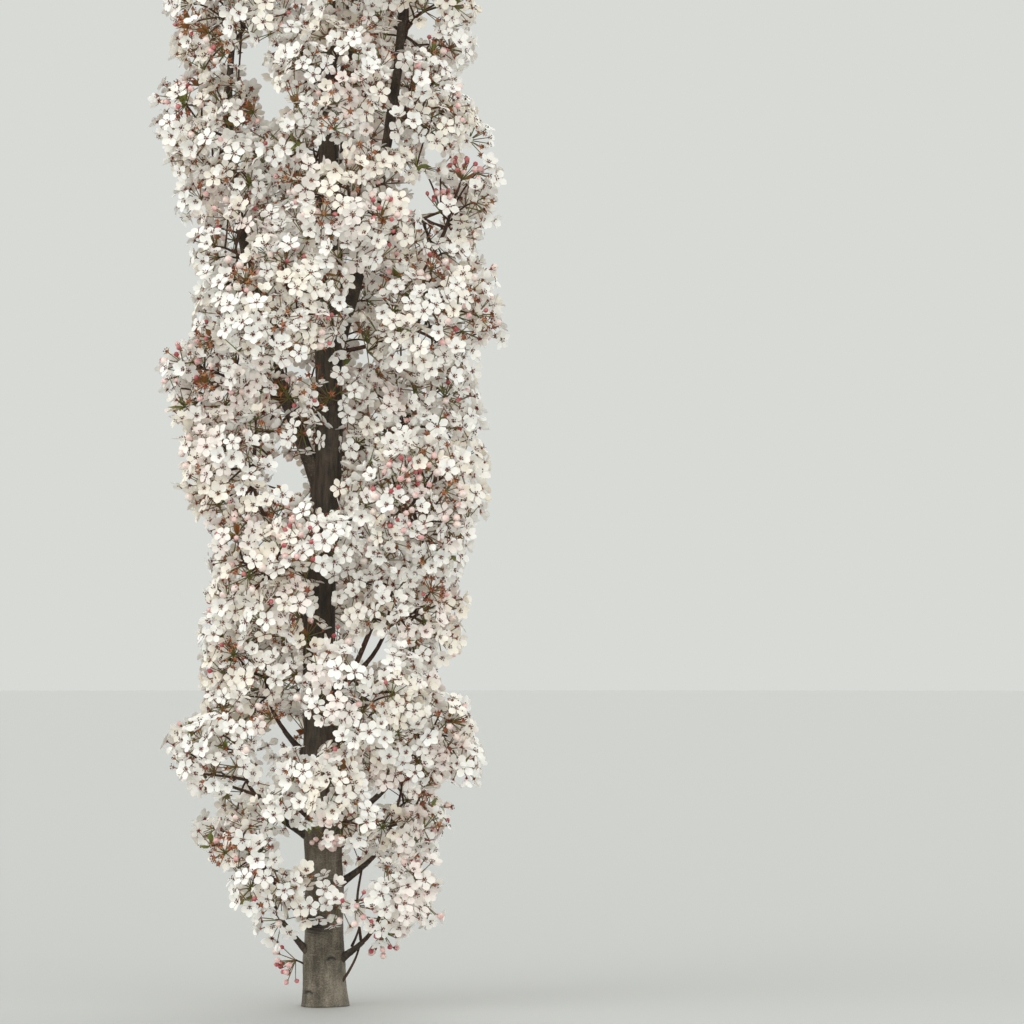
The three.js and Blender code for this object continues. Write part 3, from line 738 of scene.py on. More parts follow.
# the finer spiral round each mass, and where its clusters count as hidden
FINE_PLACES, INNER_LIMIT, FINE_SHAKE, HIDDEN_ROOM, HIDDEN_TURN = 90, -0.25, 0.08, 0.75, 0.2
# Where trunk or bough shows, so nothing stands before it: x, z, half width and half height
WOOD_WINDOWS = [
    (0, 30, 34, 50), (0, 160, 21, 20), (-10, 290, 11, 20), (-2, 452, 14, 25), (-6, 563, 17, 20),
    (6, 624, 16, 24), (4, 698, 14, 17), (2, 941, 14, 15), (-25, 590, 11, 22), (-42, 652, 9, 24),
    (72, 905, 9, 13), (66, 960, 9, 22), (75, 1012, 9, 26), (85, 1076, 9, 22), (-118, 1092, 7, 14),
    (-113, 1032, 7, 16), (-98, 830, 8, 20), (-52, 295, 17, 22), (-80, 236, 26, 7), (38, 163, 15, 7),
    (139, 880, 8, 18), (80, 224, 12, 12),
]
# Where the sky shows through the crown
SKY_WINDOWS = [
    (50, 386, 21, 19), (-42, 575, 18, 21), (-30, 692, 15, 11), (-78, 1031, 17, 19), (-61, 990, 14, 26),
    (108, 1072, 14, 11), (-150, 795, 13, 20), (-170, 230, 26, 24), (-136, 117, 37, 50), (-104, 84, 34, 24),
    (172, 509, 12, 20), (138, 353, 14, 22), (124, 146, 13, 13), (114, 61, 38, 22), (180, 700, 16, 28),
    (178, 835, 12, 16), (-42, 301, 9, 12), (-62, 250, 12, 12), (-130, 221, 18, 12), (-34, 174, 18, 25),
    (30, 136, 13, 18), (140, 176, 15, 8), (138, 233, 14, 13), (56, 224, 12, 12), (106, 878, 16, 14),
    (37, 68, 16, 13), (-158, 330, 28, 22), (-146, 478, 16, 24), (-172, 597, 16, 18), (168, 345, 16, 18),
    (176, 240, 14, 14), (118, 934, 12, 9), (48, 147, 12, 12),
]
# Where the photograph's outline reaches further than the balls: x and z of a cluster's spur
EDGE_PLACES = [
    (-148, 1098), (-136, 1052), (-162, 994), (-160, 962), (-137, 882), (-154, 690), (-106, 442),
    (-112, 402), (-110, 362), (-138, 290), (-118, 192), (140, 1098), (136, 1050), (158, 952), (166, 914),
    (164, 880), (164, 796), (146, 640), (150, 598), (124, 476), (130, 440), (124, 400), (148, 262),
]
# how deep behind the trunk or before it they stand, and how far they face the camera and upwards
EDGE_DEPTHS, EDGE_TOWARDS, EDGE_LIFT = (-25, 5), -0.45, 0.35
# A named spur: where it leaves, where its cluster stands, which way it faces, and its kind
NAMED_SPURS = [
    ((-40, -8, 96), (-46, -28, 120), (-0.4, -0.8, 0.3), "open"),
    ((-30, -18, 108), (-25, -36, 122), (-0.1, -0.9, 0.0), "open"),
    ((-18, -20, 106), (-5, -37, 121), (0.1, -0.9, -0.1), "open"),
    ((-20, -8, 44), (-31, -12, 50), (-0.85, -0.2, -0.4), "tight"),
    ((-4, -14, 206), (3, -36, 197), (0.1, -0.3, -0.95), "hanging"),
    ((50, -2, 80), (64, -14, 80), (0.3, -0.4, -0.8), "tight"),
    ((2, -14, 640), (4, -36, 662), (-0.2, -0.9, 0.2), "open"),
    ((-60, -6, 640), (-40, -26, 662), (-0.4, -0.8, 0.3), "mixed"),
    ((2, -10, 1080), (4, -38, 1100), (0.0, -0.9, 0.3), "open"),
    ((-36, -26, 220), (-46, -46, 238), (-0.4, -0.85, 0.3), "open"),
    ((-34, -24, 218), (-44, -42, 212), (-0.4, -0.8, -0.3), "mixed"),
    ((4, -12, 724), (0, -36, 736), (0.0, -0.9, 0.3), "open"),
    ((8, -14, 654), (17, -33, 668), (0.4, -0.85, 0.2), "open"),
    ((0, -14, 656), (-10, -35, 671), (-0.3, -0.9, 0.2), "open"),
    ((12, -12, 552), (25, -29, 560), (0.5, -0.8, 0.2), "open"),
    ((-14, -12, 432), (-29, -26, 446), (-0.5, -0.8, 0.2), "open"),
    ((-14, -14, 388), (-20, -36, 402), (-0.3, -0.9, 0.2), "open"),
    ((6, -14, 380), (12, -38, 390), (0.3, -0.9, 0.2), "mixed"),
    ((146, -22, 896), (149, -24, 904), (0.3, -0.35, 0.9), "tight"),
    ((136, -20, 858), (126, -24, 868), (-0.35, -0.35, 0.87), "tight"),
]
# One more, low on the left, which is filled last
LOW_SPUR = ((-35, -4, 79), (-46, -16, 94), (-0.75, -0.62, 0.1), "mixed")
# Heads and fans that stand out on the crown's face: x and z as the camera sees them, and the kind
FACE_PLACES = [
    (-154, 988, "budding"), (-80, 980, "starry"), (-113, 1043, "starry"), (-150, 1079, "starry"),
    (9, 962, "starry"), (39, 1070, "starry"), (-36, 908, "starry"), (-47, 944, "open"), (-84, 900, "mixed"),
    (-3, 867, "starry"), (-88, 795, "starry"), (-124, 729, "budding"), (-156, 702, "budding"),
    (-130, 680, "starry"), (-46, 672, "starry"), (166, 757, "budding"), (127, 740, "starry"),
    (116, 806, "starry"), (-44, 560, "starry"), (132, 562, "starry"), (116, 1048, "starry"),
    (80, 574, "tight"), (103, 588, "mixed"), (-97, 513, "mixed"), (-84, 468, "mixed"),
    (-99, 383, "starry"), (116, 452, "starry"), (-58, 312, "starry"), (138, 309, "mixed"),
    (148, 262, "mixed"), (-132, 287, "open"), (-80, 128, "open"), (-108, 166, "starry"),
    (100, 138, "mixed"), (12, 1112, "open"), (27, 460, "open"), (35, 615, "open"), (-25, 625, "open"),
    (-10, 1098, "open"),
]
FACE_DEPTH, FACE_SPREAD, FACE_TOWARDS, FACE_LIFT = 16, 160, -0.9, 0.3
# The grid between them: its heights, half its width, its steps, and how far places are shaken and sunk in
FACE_ROWS, FACE_HALF, FACE_STEP, FACE_ROW_STEP = (110, 1640), 180, 24, 20.88
FACE_JITTER, FACE_SINK, FACE_EDGE = 4, (4, 12), 14
# Young boughs and shoots besides the solids' limbs: radius at root and tip, and the points they run through
SHOOTS = [
    (1.8, 0.9, (30, 0, 64), (35, -10, 76), (41, -13, 95)),
    (1.8, 1.1, (18, -9, 24), (27, -14, 38), (35, -14, 54), (40, -8, 70)),
    (3.6, 2.7, (6, -4, 318), (20, -10, 346), (34, -14, 372), (46, -14, 400), (56, -12, 424)),
    (1.8, 1.3, (40, 0, 70), (37, -8, 96), (36, -10, 118), (41, -8, 150)),
    (3.4, 2.0, (-10, -10, 84), (-38, -22, 114), (-64, -24, 150), (-87, -24, 183)),
    (3.0, 1.6, (-8, -6, 196), (-36, -26, 220), (-66, -32, 228), (-108, -30, 242)),
    (2.6, 1.4, (104, -8, 800), (130, -18, 846), (139, -20, 876), (147, -22, 898)),
]
draw = np.random.default_rng(SEED)


def seeded_random(seed):
    """The source's random numbers from 0 to 1."""
    state, whole = seed, 0xFFFFFFFF

    def next_number():
        nonlocal state
        state = (state + 0x6D2B79F5) & whole
        t = ((state ^ (state >> 15)) * (state | 1)) & whole
        t ^= (t + (((t ^ (t >> 7)) * (t | 61)) & whole)) & whole
        return (t ^ (t >> 14)) / (whole + 1)

    return next_number


def spiral(count, phase):
    """Directions spread evenly over a ball."""
    heights = 1 - (2 * np.arange(count) + 1) / count
    turns = phase + np.arange(count) * GOLDEN_ANGLE
    rings = np.sqrt(1 - heights ** 2)
    return np.stack([np.cos(turns) * rings, np.sin(turns) * rings, heights], axis=1)


def outward_of(space):
    return unit(np.array([space.middle[0], space.middle[1], OUTWARD_LIFT]))


def spray_directions(space, number):
    """The directions of a mass's main twigs, as in the source."""
    random = seeded_random(SEED + number)
    for _ in range(CORE_DRAWS):
        random()
    made = []
    for direction in spiral(SPRAYS, random() * 2 * math.pi):
        shaken = unit(direction + [JITTER * (2 * random() - 1) for _ in range(3)])
        if np.dot(shaken, outward_of(space)) > INWARD_LIMIT:
            made.append(shaken)
    return made


shoot_paths = [(smooth_path(points, SHOOT_STEPS), root, tip) for root, tip, *points in SHOOTS]
wood, wood_radius = [], []
for height in np.arange(0, TRUNK_HEIGHT, TRUNK_STEP):
    wood.append(trunk_point(height))
    wood_radius.append(trunk_radius(height))
for name, _, _, thick, thin, *_ in LIMBS:
    path, shares = even_path(limb_paths[name], LIMB_STEP)
    wood += list(path)
    wood_radius += list(thick + (thin - thick) * shares)
for path, root, _ in shoot_paths:
    wood += list(path)
    wood_radius += [root] * len(path)
wood, wood_radius = np.array(wood), np.array(wood_radius)


def is_window(point, margin, only_sky=False):
    """True where the photograph shows sky, or the wood that is behind the point."""
    shrink = CAMERA_AWAY / (CAMERA_AWAY + point[1])
    x, z = point[0] * shrink, CAMERA_HEIGHT + (point[2] - CAMERA_HEIGHT) * shrink
    windows = SKY_WINDOWS if only_sky or point[1] >= 0 else SKY_WINDOWS + WOOD_WINDOWS
    for middle_x, middle_z, half_width, half_height in windows:
        aside, above = (x - middle_x) / (half_width + margin), (z - middle_z) / (half_height + margin)
        if aside ** 2 + above ** 2 < 1:
            return True
    return False


def is_wood(point, margin):
    return np.min(np.linalg.norm(wood - point, axis=1) - wood_radius) < margin


def is_open(point, margin):
    """True where neither a window nor the wood keeps a flower out."""
    return not is_wood(point, margin) and not is_window(point, margin / 2)


class Crowd:
    """Points in a grid, so that a near neighbour is found quickly."""

    def __init__(self, cell):
        self.cell, self.cells = cell, {}

    def key(self, point):
        return tuple(int(c // self.cell) for c in point)

    def has_near(self, point, distance):
        x, y, z = self.key(point)
        beside = (-1, 0, 1)
        for cell in ((x + i, y + j, z + k) for i in beside for j in beside for k in beside):
            if any(np.sum((point - other) ** 2) < distance ** 2 for other in self.cells.get(cell, ())):
                return True
        return False

    def add(self, point):
        self.cells.setdefault(self.key(point), []).append(point)


@dataclass(eq=False)
class Cluster:
    """A spur's tip with a fan of flowers: where it stands and which way it faces."""
    base: np.ndarray
    axis: np.ndarray
    number: int
    is_main: bool = False
    foot: np.ndarray = None
    kind: str = None
    reaches_out: bool = False


crowd = Crowd(HIDDEN_SPACING)
clusters = []


def take(base, axis, number, **more):
    crowd.add(base)
    clusters.append(Cluster(base, axis, number, **more))


def offer(space, number, direction, spacing, is_main):
    """Takes a place for a cluster if it is open and no other is near."""
    far = room(direction, space)
    if far < LEAST_ROOM:
        return
    reach = CLUSTER_REACH if far > space.half_width - 1 else BORDER_REACH
    base = space.middle + direction * (far - reach - draw.random() * PULL_BACK)
    if not crowd.has_near(base, spacing) and is_open(base, WOOD_CLEARANCE):
        axis = direction * TWIG_SHARE + outward_of(space) * OUT_SHARE + UP * UP_SHARE
        take(base, unit(axis + draw.normal(0, AXIS_SHAKE, 3)), number, is_main=is_main)


def nearest_space(point):
    return min(range(len(spaces)), key=lambda number: power(point, spaces[number]))


def offer_spurs(path, radius):
    """Short spurs round a limb or the trunk, where they end inside a mass."""
    path, _ = even_path(path, SPUR_EVERY)
    for i, (point, ahead) in enumerate(zip(path, np.gradient(path, axis=0))):
        across = unit(np.cross(ahead, (math.cos(i * GOLDEN_ANGLE), math.sin(i * GOLDEN_ANGLE), 0.1)))
        way = unit(across + unit(ahead) * SPUR_AHEAD + draw.normal(0, SPUR_SHAKE, 3))
        base = point + way * (radius + draw.uniform(*SPUR_OUT))
        number = nearest_space(base)
        is_inside = power(base, spaces[number]) < -SPUR_INSIDE * spaces[number].half_width
        if is_inside and not crowd.has_near(base, CLUSTER_SPACING) and is_open(base, WOOD_CLEARANCE):
            take(base, unit(way + UP * SPUR_LIFT), number, foot=point)


def face_place(x, z, depth=FACE_DEPTH, least=0):
    """The place behind the crown's face that the camera sees at x and z.

    With a least distance from the masses' edges, a place that is nearer to them gives none.
    """
    fronts = []
    for space in spaces:
        away = math.hypot(x - space.middle[0], z - space.middle[2])
        if away < space.half_width - least:
            fronts.append(space.middle[1] - math.sqrt(space.half_width ** 2 - away ** 2))
    if least and not fronts:
        return None
    y = min(fronts, default=-depth) + depth
    shrink = (CAMERA_AWAY + y) / CAMERA_AWAY
    return np.array([x * shrink, y, CAMERA_HEIGHT + (z - CAMERA_HEIGHT) * shrink])


def face_axis(x):
    """A cluster on the face looks at the camera, and the further out it stands, the more to its side."""
    return np.array([x / FACE_SPREAD, FACE_TOWARDS, FACE_LIFT])


def take_named(foot, base, axis, kind):
    base = np.array(base, float)
    foot = np.array(foot, float)
    take(base, unit(np.array(axis)), nearest_space(base), foot=foot, kind=kind, reaches_out=True)


for spur in NAMED_SPURS:
    take_named(*spur)
for x, z, kind in FACE_PLACES:
    base = face_place(x, z)
    take(base, unit(face_axis(x)), nearest_space(base), kind=kind, reaches_out=True)
for x, z in EDGE_PLACES:
    base = np.array([x, draw.uniform(*EDGE_DEPTHS), z])
    take(base, unit(np.array([np.sign(x), EDGE_TOWARDS, EDGE_LIFT])), nearest_space(base), reaches_out=True)
for number, space in enumerate(spaces):
    for direction in spray_directions(space, number):
        offer(space, number, direction, CLUSTER_SPACING, True)
print(len(clusters), "clusters on main twigs or named")
offer_spurs(trunk_path, TRUNK_RADIUS * TRUNK_SHARE)
for limb in LIMBS:
    offer_spurs(limb_paths[limb[0]], limb[3] * LIMB_SHARE)
print(len(clusters), "with those on spurs along the wood")
for row, z in enumerate(np.arange(*FACE_ROWS, FACE_ROW_STEP)):
    for x in np.arange(-FACE_HALF, FACE_HALF, FACE_STEP) + row % 2 * FACE_STEP / 2:
        x += draw.uniform(-FACE_JITTER, FACE_JITTER)
        high = z + draw.uniform(-FACE_JITTER, FACE_JITTER)
        base = face_place(x, high, FACE_DEPTH + draw.uniform(*FACE_SINK), FACE_EDGE)
        if base is not None and not crowd.has_near(base, FACE_SPACING) and is_open(base, WOOD_CLEARANCE):
            take(base, unit(face_axis(x) + draw.normal(0, AXIS_SHAKE, 3)), nearest_space(base))
print(len(clusters), "with those on the face")
for number, space in enumerate(spaces):
    for direction in spiral(FINE_PLACES, draw.random() * 7):
        shaken = unit(direction + draw.normal(0, FINE_SHAKE, 3))
        outwards = np.dot(shaken, outward_of(space))
        if outwards < INNER_LIMIT:
            continue
        is_hidden = room(shaken, space) < HIDDEN_ROOM * space.half_width and outwards < HIDDEN_TURN
        offer(space, number, shaken, HIDDEN_SPACING if is_hidden else CLUSTER_SPACING, False)
print(len(clusters), "clusters in all")

# %% [markdown]
# ## Twigs
# A twig leaves its mass's stem, curves up as young wood does, and ends in a knobbly spur. Every other
# cluster hangs on a shorter twig that leaves the nearest one behind it. Each is only a line of points with
# a thickness here, and the mesh is made from all of them at once further on. A twig that would cross a gap
# of open sky starts elsewhere, or is left out with its cluster.

# %% Twigs
STEM_ROOT, STEM_TIP = 2.7, 1.7
TWIG_ROOT, TWIG_TIP, SHOOT_ROOT, SHOOT_TIP, KNOB, KNOB_LENGTH = 1.9, 1.1, 1.3, 0.9, 1.55, 2.5
TWIG_LIFT, TWIG_SHAKE, TWIG_STEPS = 0.13, 0.07, 4
NEAR_JOINTS, JOINT_BACK = 8, 16
# where along a straight line to its cluster a twig is looked at for open sky
LOOKS = (0.2, 0.4, 0.6, 0.8)
# each line: its points, its radius at each, and the number of its mass
lines = []


def add_line(path, radii, number):
    lines.append((np.array(path), np.array(radii), number))


def spur_line(start, end, root, tip, number):
    """A curved twig that ends in a knob."""
    length = np.linalg.norm(end - start)
    bend = (start + end) / 2 + UP * length * TWIG_LIFT + draw.normal(0, TWIG_SHAKE, 3) * length
    path = bent_path(start, bend, end, TWIG_STEPS)
    radii = root + (tip - root) * np.linspace(0, 1, TWIG_STEPS + 1)
    before = end - unit(path[-1] - path[-2]) * KNOB_LENGTH
    add_line([*path[:-1], before, end], [*radii[:-1], tip, KNOB], number)
    return path


def clear_start(starts, cluster):
    """The first start from which a twig reaches the cluster without crossing the open sky, or none."""
    for start in starts:
        points = (start + (cluster.base - start) * share for share in LOOKS)
        if not any(is_window(point, 0, only_sky=True) for point in points):
            return start
    return starts[0] if cluster.reaches_out else None


for number, path in enumerate(stem_paths):
    add_line(path, STEM_ROOT + (STEM_TIP - STEM_ROOT) * np.linspace(0, 1, len(path)), number)
twig_joints = {number: [path[-1], path[-2], path[-3]] for number, path in enumerate(stem_paths)}
borne = []
for cluster in clusters:
    if cluster.is_main:
        stem = stem_paths[cluster.number]
        start = clear_start([stem[-1 - int(draw.integers(0, 3))], *stem[:1:-1]], cluster)
        if start is not None:
            path = spur_line(start, cluster.base, TWIG_ROOT, TWIG_TIP, cluster.number)
            twig_joints[cluster.number] += list(path[1:-1])
            borne.append(cluster)
for cluster in clusters:
    if not cluster.is_main:
        start = cluster.foot
        if start is None:
            back = cluster.base - cluster.axis * JOINT_BACK
            joints = sorted(twig_joints[cluster.number], key=lambda joint: np.linalg.norm(joint - back))
            start = clear_start(joints[:NEAR_JOINTS], cluster)
        if start is not None:
            spur_line(start, cluster.base, SHOOT_ROOT, SHOOT_TIP, cluster.number)
            borne.append(cluster)
for path, root, tip in shoot_paths:
    add_line(path, np.linspace(root, tip, len(path)), nearest_space(path[-1]))
print(len(lines), "stems, twigs and spurs, and", len(clusters) - len(borne), "clusters left out")

# %% [markdown]
# ## Flowers and buds
# From each spur a dozen or more stalks fan out, and each ends in a flower or a bud. The stalks at the edge
# of the fan are the longest, so the cluster is a low dome. Most clusters are fully open, some still hold
# buds between their flowers, and a few are tight pink buds with young leaves. Some flowers have dropped
# their petals, so only their starry calyx is left, and in a few starry fans nearly all have. One table
# says what each kind is made of. A flower that would stand in the wood, in a window or on its neighbour is
# left out. One small cluster low on the left is filled last, so that it takes no random number from the
# others.

# %% Flowers and buds
FLOWER_RADIUS, FLOWER_SPACING, FLOWER_CLEARANCE, OVERHANG, NAMED_MARGIN = 11.9, 10, 7, 5, -4
# a bud or a bare star takes less room, a bud's stalk is shorter, and a flower reaches past its stalk's end
SMALL_SHARE, BUD_REACH, PAST_END, CROWD_CELL = 0.55, 0.85, 4, 15
STALKS, STALK_LENGTH, STALK_RADII, EDGE_LONGER = (12, 17), (16, 23), (0.7, 0.55), 0.12
FAN, LEAN_SHARES, TURN_SHAKE, SLANT = math.radians(92), (0.85, 1.1), 0.15, (0.37, -0.61, 0.70)
SIZES = (0.86, 1.12)
# how a flower faces: shares of its stalk's direction, of the way out and of straight up, and its shake
FACING, FACING_SHAKE = (0.74, 0.12, 0.10), 0.27
# how many flowers are bare in most clusters and in a few, and how many clusters are such
BARE_SHARES, BARE_CLUSTERS = (0.05, 0.38), 0.1
# white, cream and blushed petals; red, pink and pale buds; olive leaves, where the others are bronze
PETAL_SHARES, BUD_SIZES, OLIVE_SHARE = (0.60, 0.29, 0.11), (0.82, 1.02, 1.28), 0.45
FLOWER_FORMS, BARE = (0.20, 0.18, 0.24, 0.16, 0.13, 0.09), 6
LEAVES, LEAF_SIZES, LEAF_SHARES = (2, 5), (0.75, 1.2), (0.75, 0.66)


@dataclass
class Kind:
    """What a cluster is made of. A share of 0 means that the kind is only placed where it is listed."""
    share: float
    buds: float
    bud_tints: tuple = (0.14, 0.34, 0.52)
    bare: float = None
    width: float = 1
    reach: float = None
    leaves: float = 0.5


KINDS = {
    "open": Kind(0.87, 0.02, leaves=0.10),
    "mixed": Kind(0.115, 0.24),
    "tight": Kind(0.015, 0.94, (0.54, 0.36, 0.10), width=0.78, reach=1),
    "starry": Kind(0, 0.2, bare=0.9, reach=0.62, leaves=0.3),
    "budding": Kind(0, 0.5, (0.30, 0.40, 0.30), bare=0.5, reach=0.85),
    "hanging": Kind(0, 0.96, (0.04, 0.40, 0.56), width=0.55, reach=0.9, leaves=0),
}


@dataclass(eq=False)
class Growth:
    """A flower, a bud or a leaf, with the number of its mass. Only a flower has a form."""
    place: np.ndarray
    facing: np.ndarray
    spin: float
    size: float
    tint: int
    number: int
    form: int = None


flowers, buds, leaves, stalks = [], [], [], []
flower_crowd = Crowd(CROWD_CELL)


def frame_across(axis):
    """Two directions across an axis."""
    across = unit(np.cross(axis, SLANT))
    return across, np.cross(axis, across)


def is_blocked(cluster, end, way):
    """True where a stalk would end outside its mass, in the wood or in a window."""
    space = spaces[cluster.number]
    if not cluster.reaches_out and power(end + way * PAST_END, space) > 2 * space.half_width * OVERHANG:
        return True
    if cluster.kind is None:
        return not is_open(end, FLOWER_CLEARANCE)
    return is_wood(end, FLOWER_CLEARANCE) or is_window(end, NAMED_MARGIN)


def fill_cluster(cluster):
    """Draws the stalks, flowers, buds and leaves of one cluster."""
    outward = outward_of(spaces[cluster.number])
    kind = KINDS[cluster.kind or draw.choice(list(KINDS), p=[kind.share for kind in KINDS.values()])]
    usual_bare = BARE_SHARES[int(draw.random() < BARE_CLUSTERS)]
    bare = usual_bare if kind.bare is None else kind.bare
    petal_tint = int(draw.choice(3, p=PETAL_SHARES))
    across, beside = frame_across(cluster.axis)
    count = int(draw.integers(*STALKS))
    phase = draw.random() * 7
    for i in range(count):
        lean = FAN * kind.width * math.sqrt((i + 0.5) / count) * draw.uniform(*LEAN_SHARES)
        turn = phase + i * GOLDEN_ANGLE + draw.normal(0, TURN_SHAKE)
        sideways = math.cos(turn) * across + math.sin(turn) * beside
        way = math.cos(lean) * cluster.axis + math.sin(lean) * sideways
        is_bud = draw.random() < kind.buds
        is_bare = not is_bud and draw.random() < bare
        reach = kind.reach or (BUD_REACH if is_bud else 1)
        end = cluster.base + way * (draw.uniform(*STALK_LENGTH) * (1 + EDGE_LONGER * lean) * reach)
        size = draw.uniform(*SIZES)
        spacing = FLOWER_SPACING * (SMALL_SHARE if is_bud or is_bare else 1)
        if is_blocked(cluster, end, way) or flower_crowd.has_near(end, spacing):
            continue
        flower_crowd.add(end)
        aim = sum(share * part for share, part in zip(FACING, (way, outward, UP)))
        facing = unit(aim + draw.normal(0, FACING_SHAKE, 3))
        stalks.append((np.array([cluster.base, end]), np.array(STALK_RADII), cluster.number))
        spin = draw.random() * 2 * math.pi
        if is_bud:
            tint = int(draw.choice(3, p=kind.bud_tints))
            buds.append(Growth(end, facing, spin, BUD_SIZES[tint] * size, tint, cluster.number))
        else:
            form = BARE if is_bare else int(draw.choice(len(FLOWER_FORMS), p=FLOWER_FORMS))
            flowers.append(Growth(end, facing, spin, size, petal_tint, cluster.number, form))
    if draw.random() < kind.leaves:
        tint = int(draw.random() < OLIVE_SHARE)
        for i in range(int(draw.integers(*LEAVES))):
            turn = phase + i * GOLDEN_ANGLE
            sideways = math.cos(turn) * across + math.sin(turn) * beside
            way = unit(LEAF_SHARES[0] * cluster.axis + LEAF_SHARES[1] * sideways)
            spin, size = draw.random() * 7, draw.uniform(*LEAF_SIZES)
            leaves.append(Growth(cluster.base, way, spin, size, tint, cluster.number))


for cluster in borne:
    fill_cluster(cluster)
take_named(*LOW_SPUR)
low = clusters[-1]
spur_line(low.foot, low.base, SHOOT_ROOT, SHOOT_TIP, low.number)
fill_cluster(low)
print(len(flowers), "flowers,", len(buds), "buds and", len(leaves), "leaves")

# %% [markdown]
# ## The shapes of a flower
# A pear flower has five rounded petals, each on a narrow claw, over a starry calyx, with a ring of dark
# red anthers. One petal is a strip of three rows of points bent along an arc, its edges lifted a little,
# and five of them make a flower. Six forms, from flat to half closed, with small flaws of their own, keep
# thousands of flowers from looking alike. Each shape has few faces, because it is repeated thousands of
# times.

# %% The shapes of a flower
# All in flower radii. A petal's rows: how far along, half width, and how much further its middle reaches
PETAL_BASE, PETAL_ROWS, LEAST_BEND = 0.07, ((0.30, 0.18, 0), (0.62, 0.355, 0), (0.90, 0.225, 0.12)), 1
CALYX_TOP, CALYX_FOOT = 0.2, -0.08
# how steeply the petals leave the middle, how far they bend up along their length (degrees), and how cupped
FORMS = [(6, 8, 0.22), (12, -14, 0.18), (20, 12, 0.26), (32, 22, 0.30), (22, -36, 0.14), (42, 92, 0.34)]
# the stamens' lean in each of these forms, in degrees
SPREADS = (50, 42, 38, 30, 55, 12)
BLADE_WIDTH, ANTHER = 0.02, 0.095
# a bud's rings and a leaf's rows: how far along, and half width
BUD_RINGS, BUD_FOOT = ((0.12, 0.62), (0.42, 1.0), (0.76, 0.72)), 0.1
LEAF_ROWS, LEAF_FOLD = ((0.3, 0.16), (0.62, 0.19)), 0.12
FIFTHS = np.arange(5) * 2 * math.pi / 5
shape_draw = np.random.default_rng(SEED + 1)


def petal(turn, length, slope, bend, cup, twist):
    """One petal from the middle outwards, as points and faces."""
    slope, bend = math.radians(slope), math.radians(bend if abs(bend) > LEAST_BEND else LEAST_BEND)

    def along(share):
        angle = slope + bend * share
        out = (math.sin(angle) - math.sin(slope)) / bend * length
        up = (math.cos(slope) - math.cos(angle)) / bend * length
        return out, up, angle

    out, up, _ = along(PETAL_BASE)
    points = [(out, 0, up)]
    for share, half_width, further in PETAL_ROWS:
        for side in (-1, 0, 1):
            out, up, angle = along(share + (0 if side else further))
            lift = cup * half_width * abs(side) + twist * half_width * side
            points.append((out - math.sin(angle) * lift, side * half_width, up + math.cos(angle) * lift))
    x, y, z = np.array(points).T
    c, s = math.cos(turn), math.sin(turn)
    faces = [(0, 1, 2), (0, 2, 3)]
    for row in (1, 4):
        faces += [(row, row + 3, row + 4, row + 1), (row + 1, row + 4, row + 5, row + 2)]
    return np.stack([x * c - y * s, x * s + y * c, z + CALYX_TOP], axis=1), faces


def joined(parts):
    """Several lots of points and faces as one."""
    points, faces = [], []
    for more_points, more_faces in parts:
        faces += [tuple(index + len(points) for index in face) for face in more_faces]
        points += list(more_points)
    return points, faces


def petals_shape(slope, bend, cup):
    parts = []
    for fifth in FIFTHS:
        turn = fifth + shape_draw.normal(0, 0.05)
        length = shape_draw.uniform(0.94, 1.06)
        tilt, curl = shape_draw.normal(0, 4), shape_draw.normal(0, 6)
        parts.append(petal(turn, length, slope + tilt, bend + curl, cup, shape_draw.normal(0, 0.12)))
    return joined(parts)


def stamens_shape(spread):
    """Five stamens that lean out: a thin blade each, with an anther at its end."""
    parts = []
    for fifth in FIFTHS:
        turn = fifth + shape_draw.normal(0, 0.2)
        lean = math.radians(spread) * shape_draw.uniform(0.6, 1.2)
        length = shape_draw.uniform(0.18, 0.32)
        out = np.array([math.cos(turn), math.sin(turn), 0])
        beside = np.array([-out[1], out[0], 0])
        foot = out * 0.05 + UP * (CALYX_TOP + 0.01)
        tip = foot + length * (math.sin(lean) * out + math.cos(lean) * UP)
        parts.append(([foot - beside * BLADE_WIDTH, foot + beside * BLADE_WIDTH, tip], [(0, 1, 2)]))
        top, low = tip + UP * ANTHER * 0.7, tip - UP * ANTHER * 0.35
        ring = [low + ANTHER * (math.cos(a) * out + math.sin(a) * beside) for a in (0.3, 2.4, 4.5)]
        parts.append(([*ring, top], [(0, 1, 3), (1, 2, 3), (2, 0, 3), (2, 1, 0)]))
    return joined(parts)


def calyx_shape(rise, reach, cup=0.15):
    """A small cup with five pointed sepals, and the disc inside it."""
    points = [(cup * math.cos(a), cup * math.sin(a), CALYX_TOP - 0.02) for a in FIFTHS - math.pi / 5]
    points += [(0, 0, CALYX_FOOT), (0, 0, CALYX_TOP + 0.04)]
    points += [(reach * math.cos(a), reach * math.sin(a), CALYX_TOP + rise) for a in FIFTHS]
    faces = []
    for i in range(5):
        after = (i + 1) % 5
        faces += [(5, after, i), (i, after, 6)]
    faces += [(i, 7 + i, (i + 1) % 5) for i in range(5)]
    return points, faces


def bud_shape(width, height):
    """A rounded bud with a blunt point."""
    rings = []
    for share, half in BUD_RINGS:
        turns = np.linspace(0, 2 * math.pi, 6, endpoint=False) + share
        z = BUD_FOOT + height * share
        rings.append([(width * half * math.cos(a), width * half * math.sin(a), z) for a in turns])
    points, faces = tube(rings)
    points[-2:] = [(0, 0, BUD_FOOT - 0.02), (0, 0, BUD_FOOT + height)]
    return points, faces


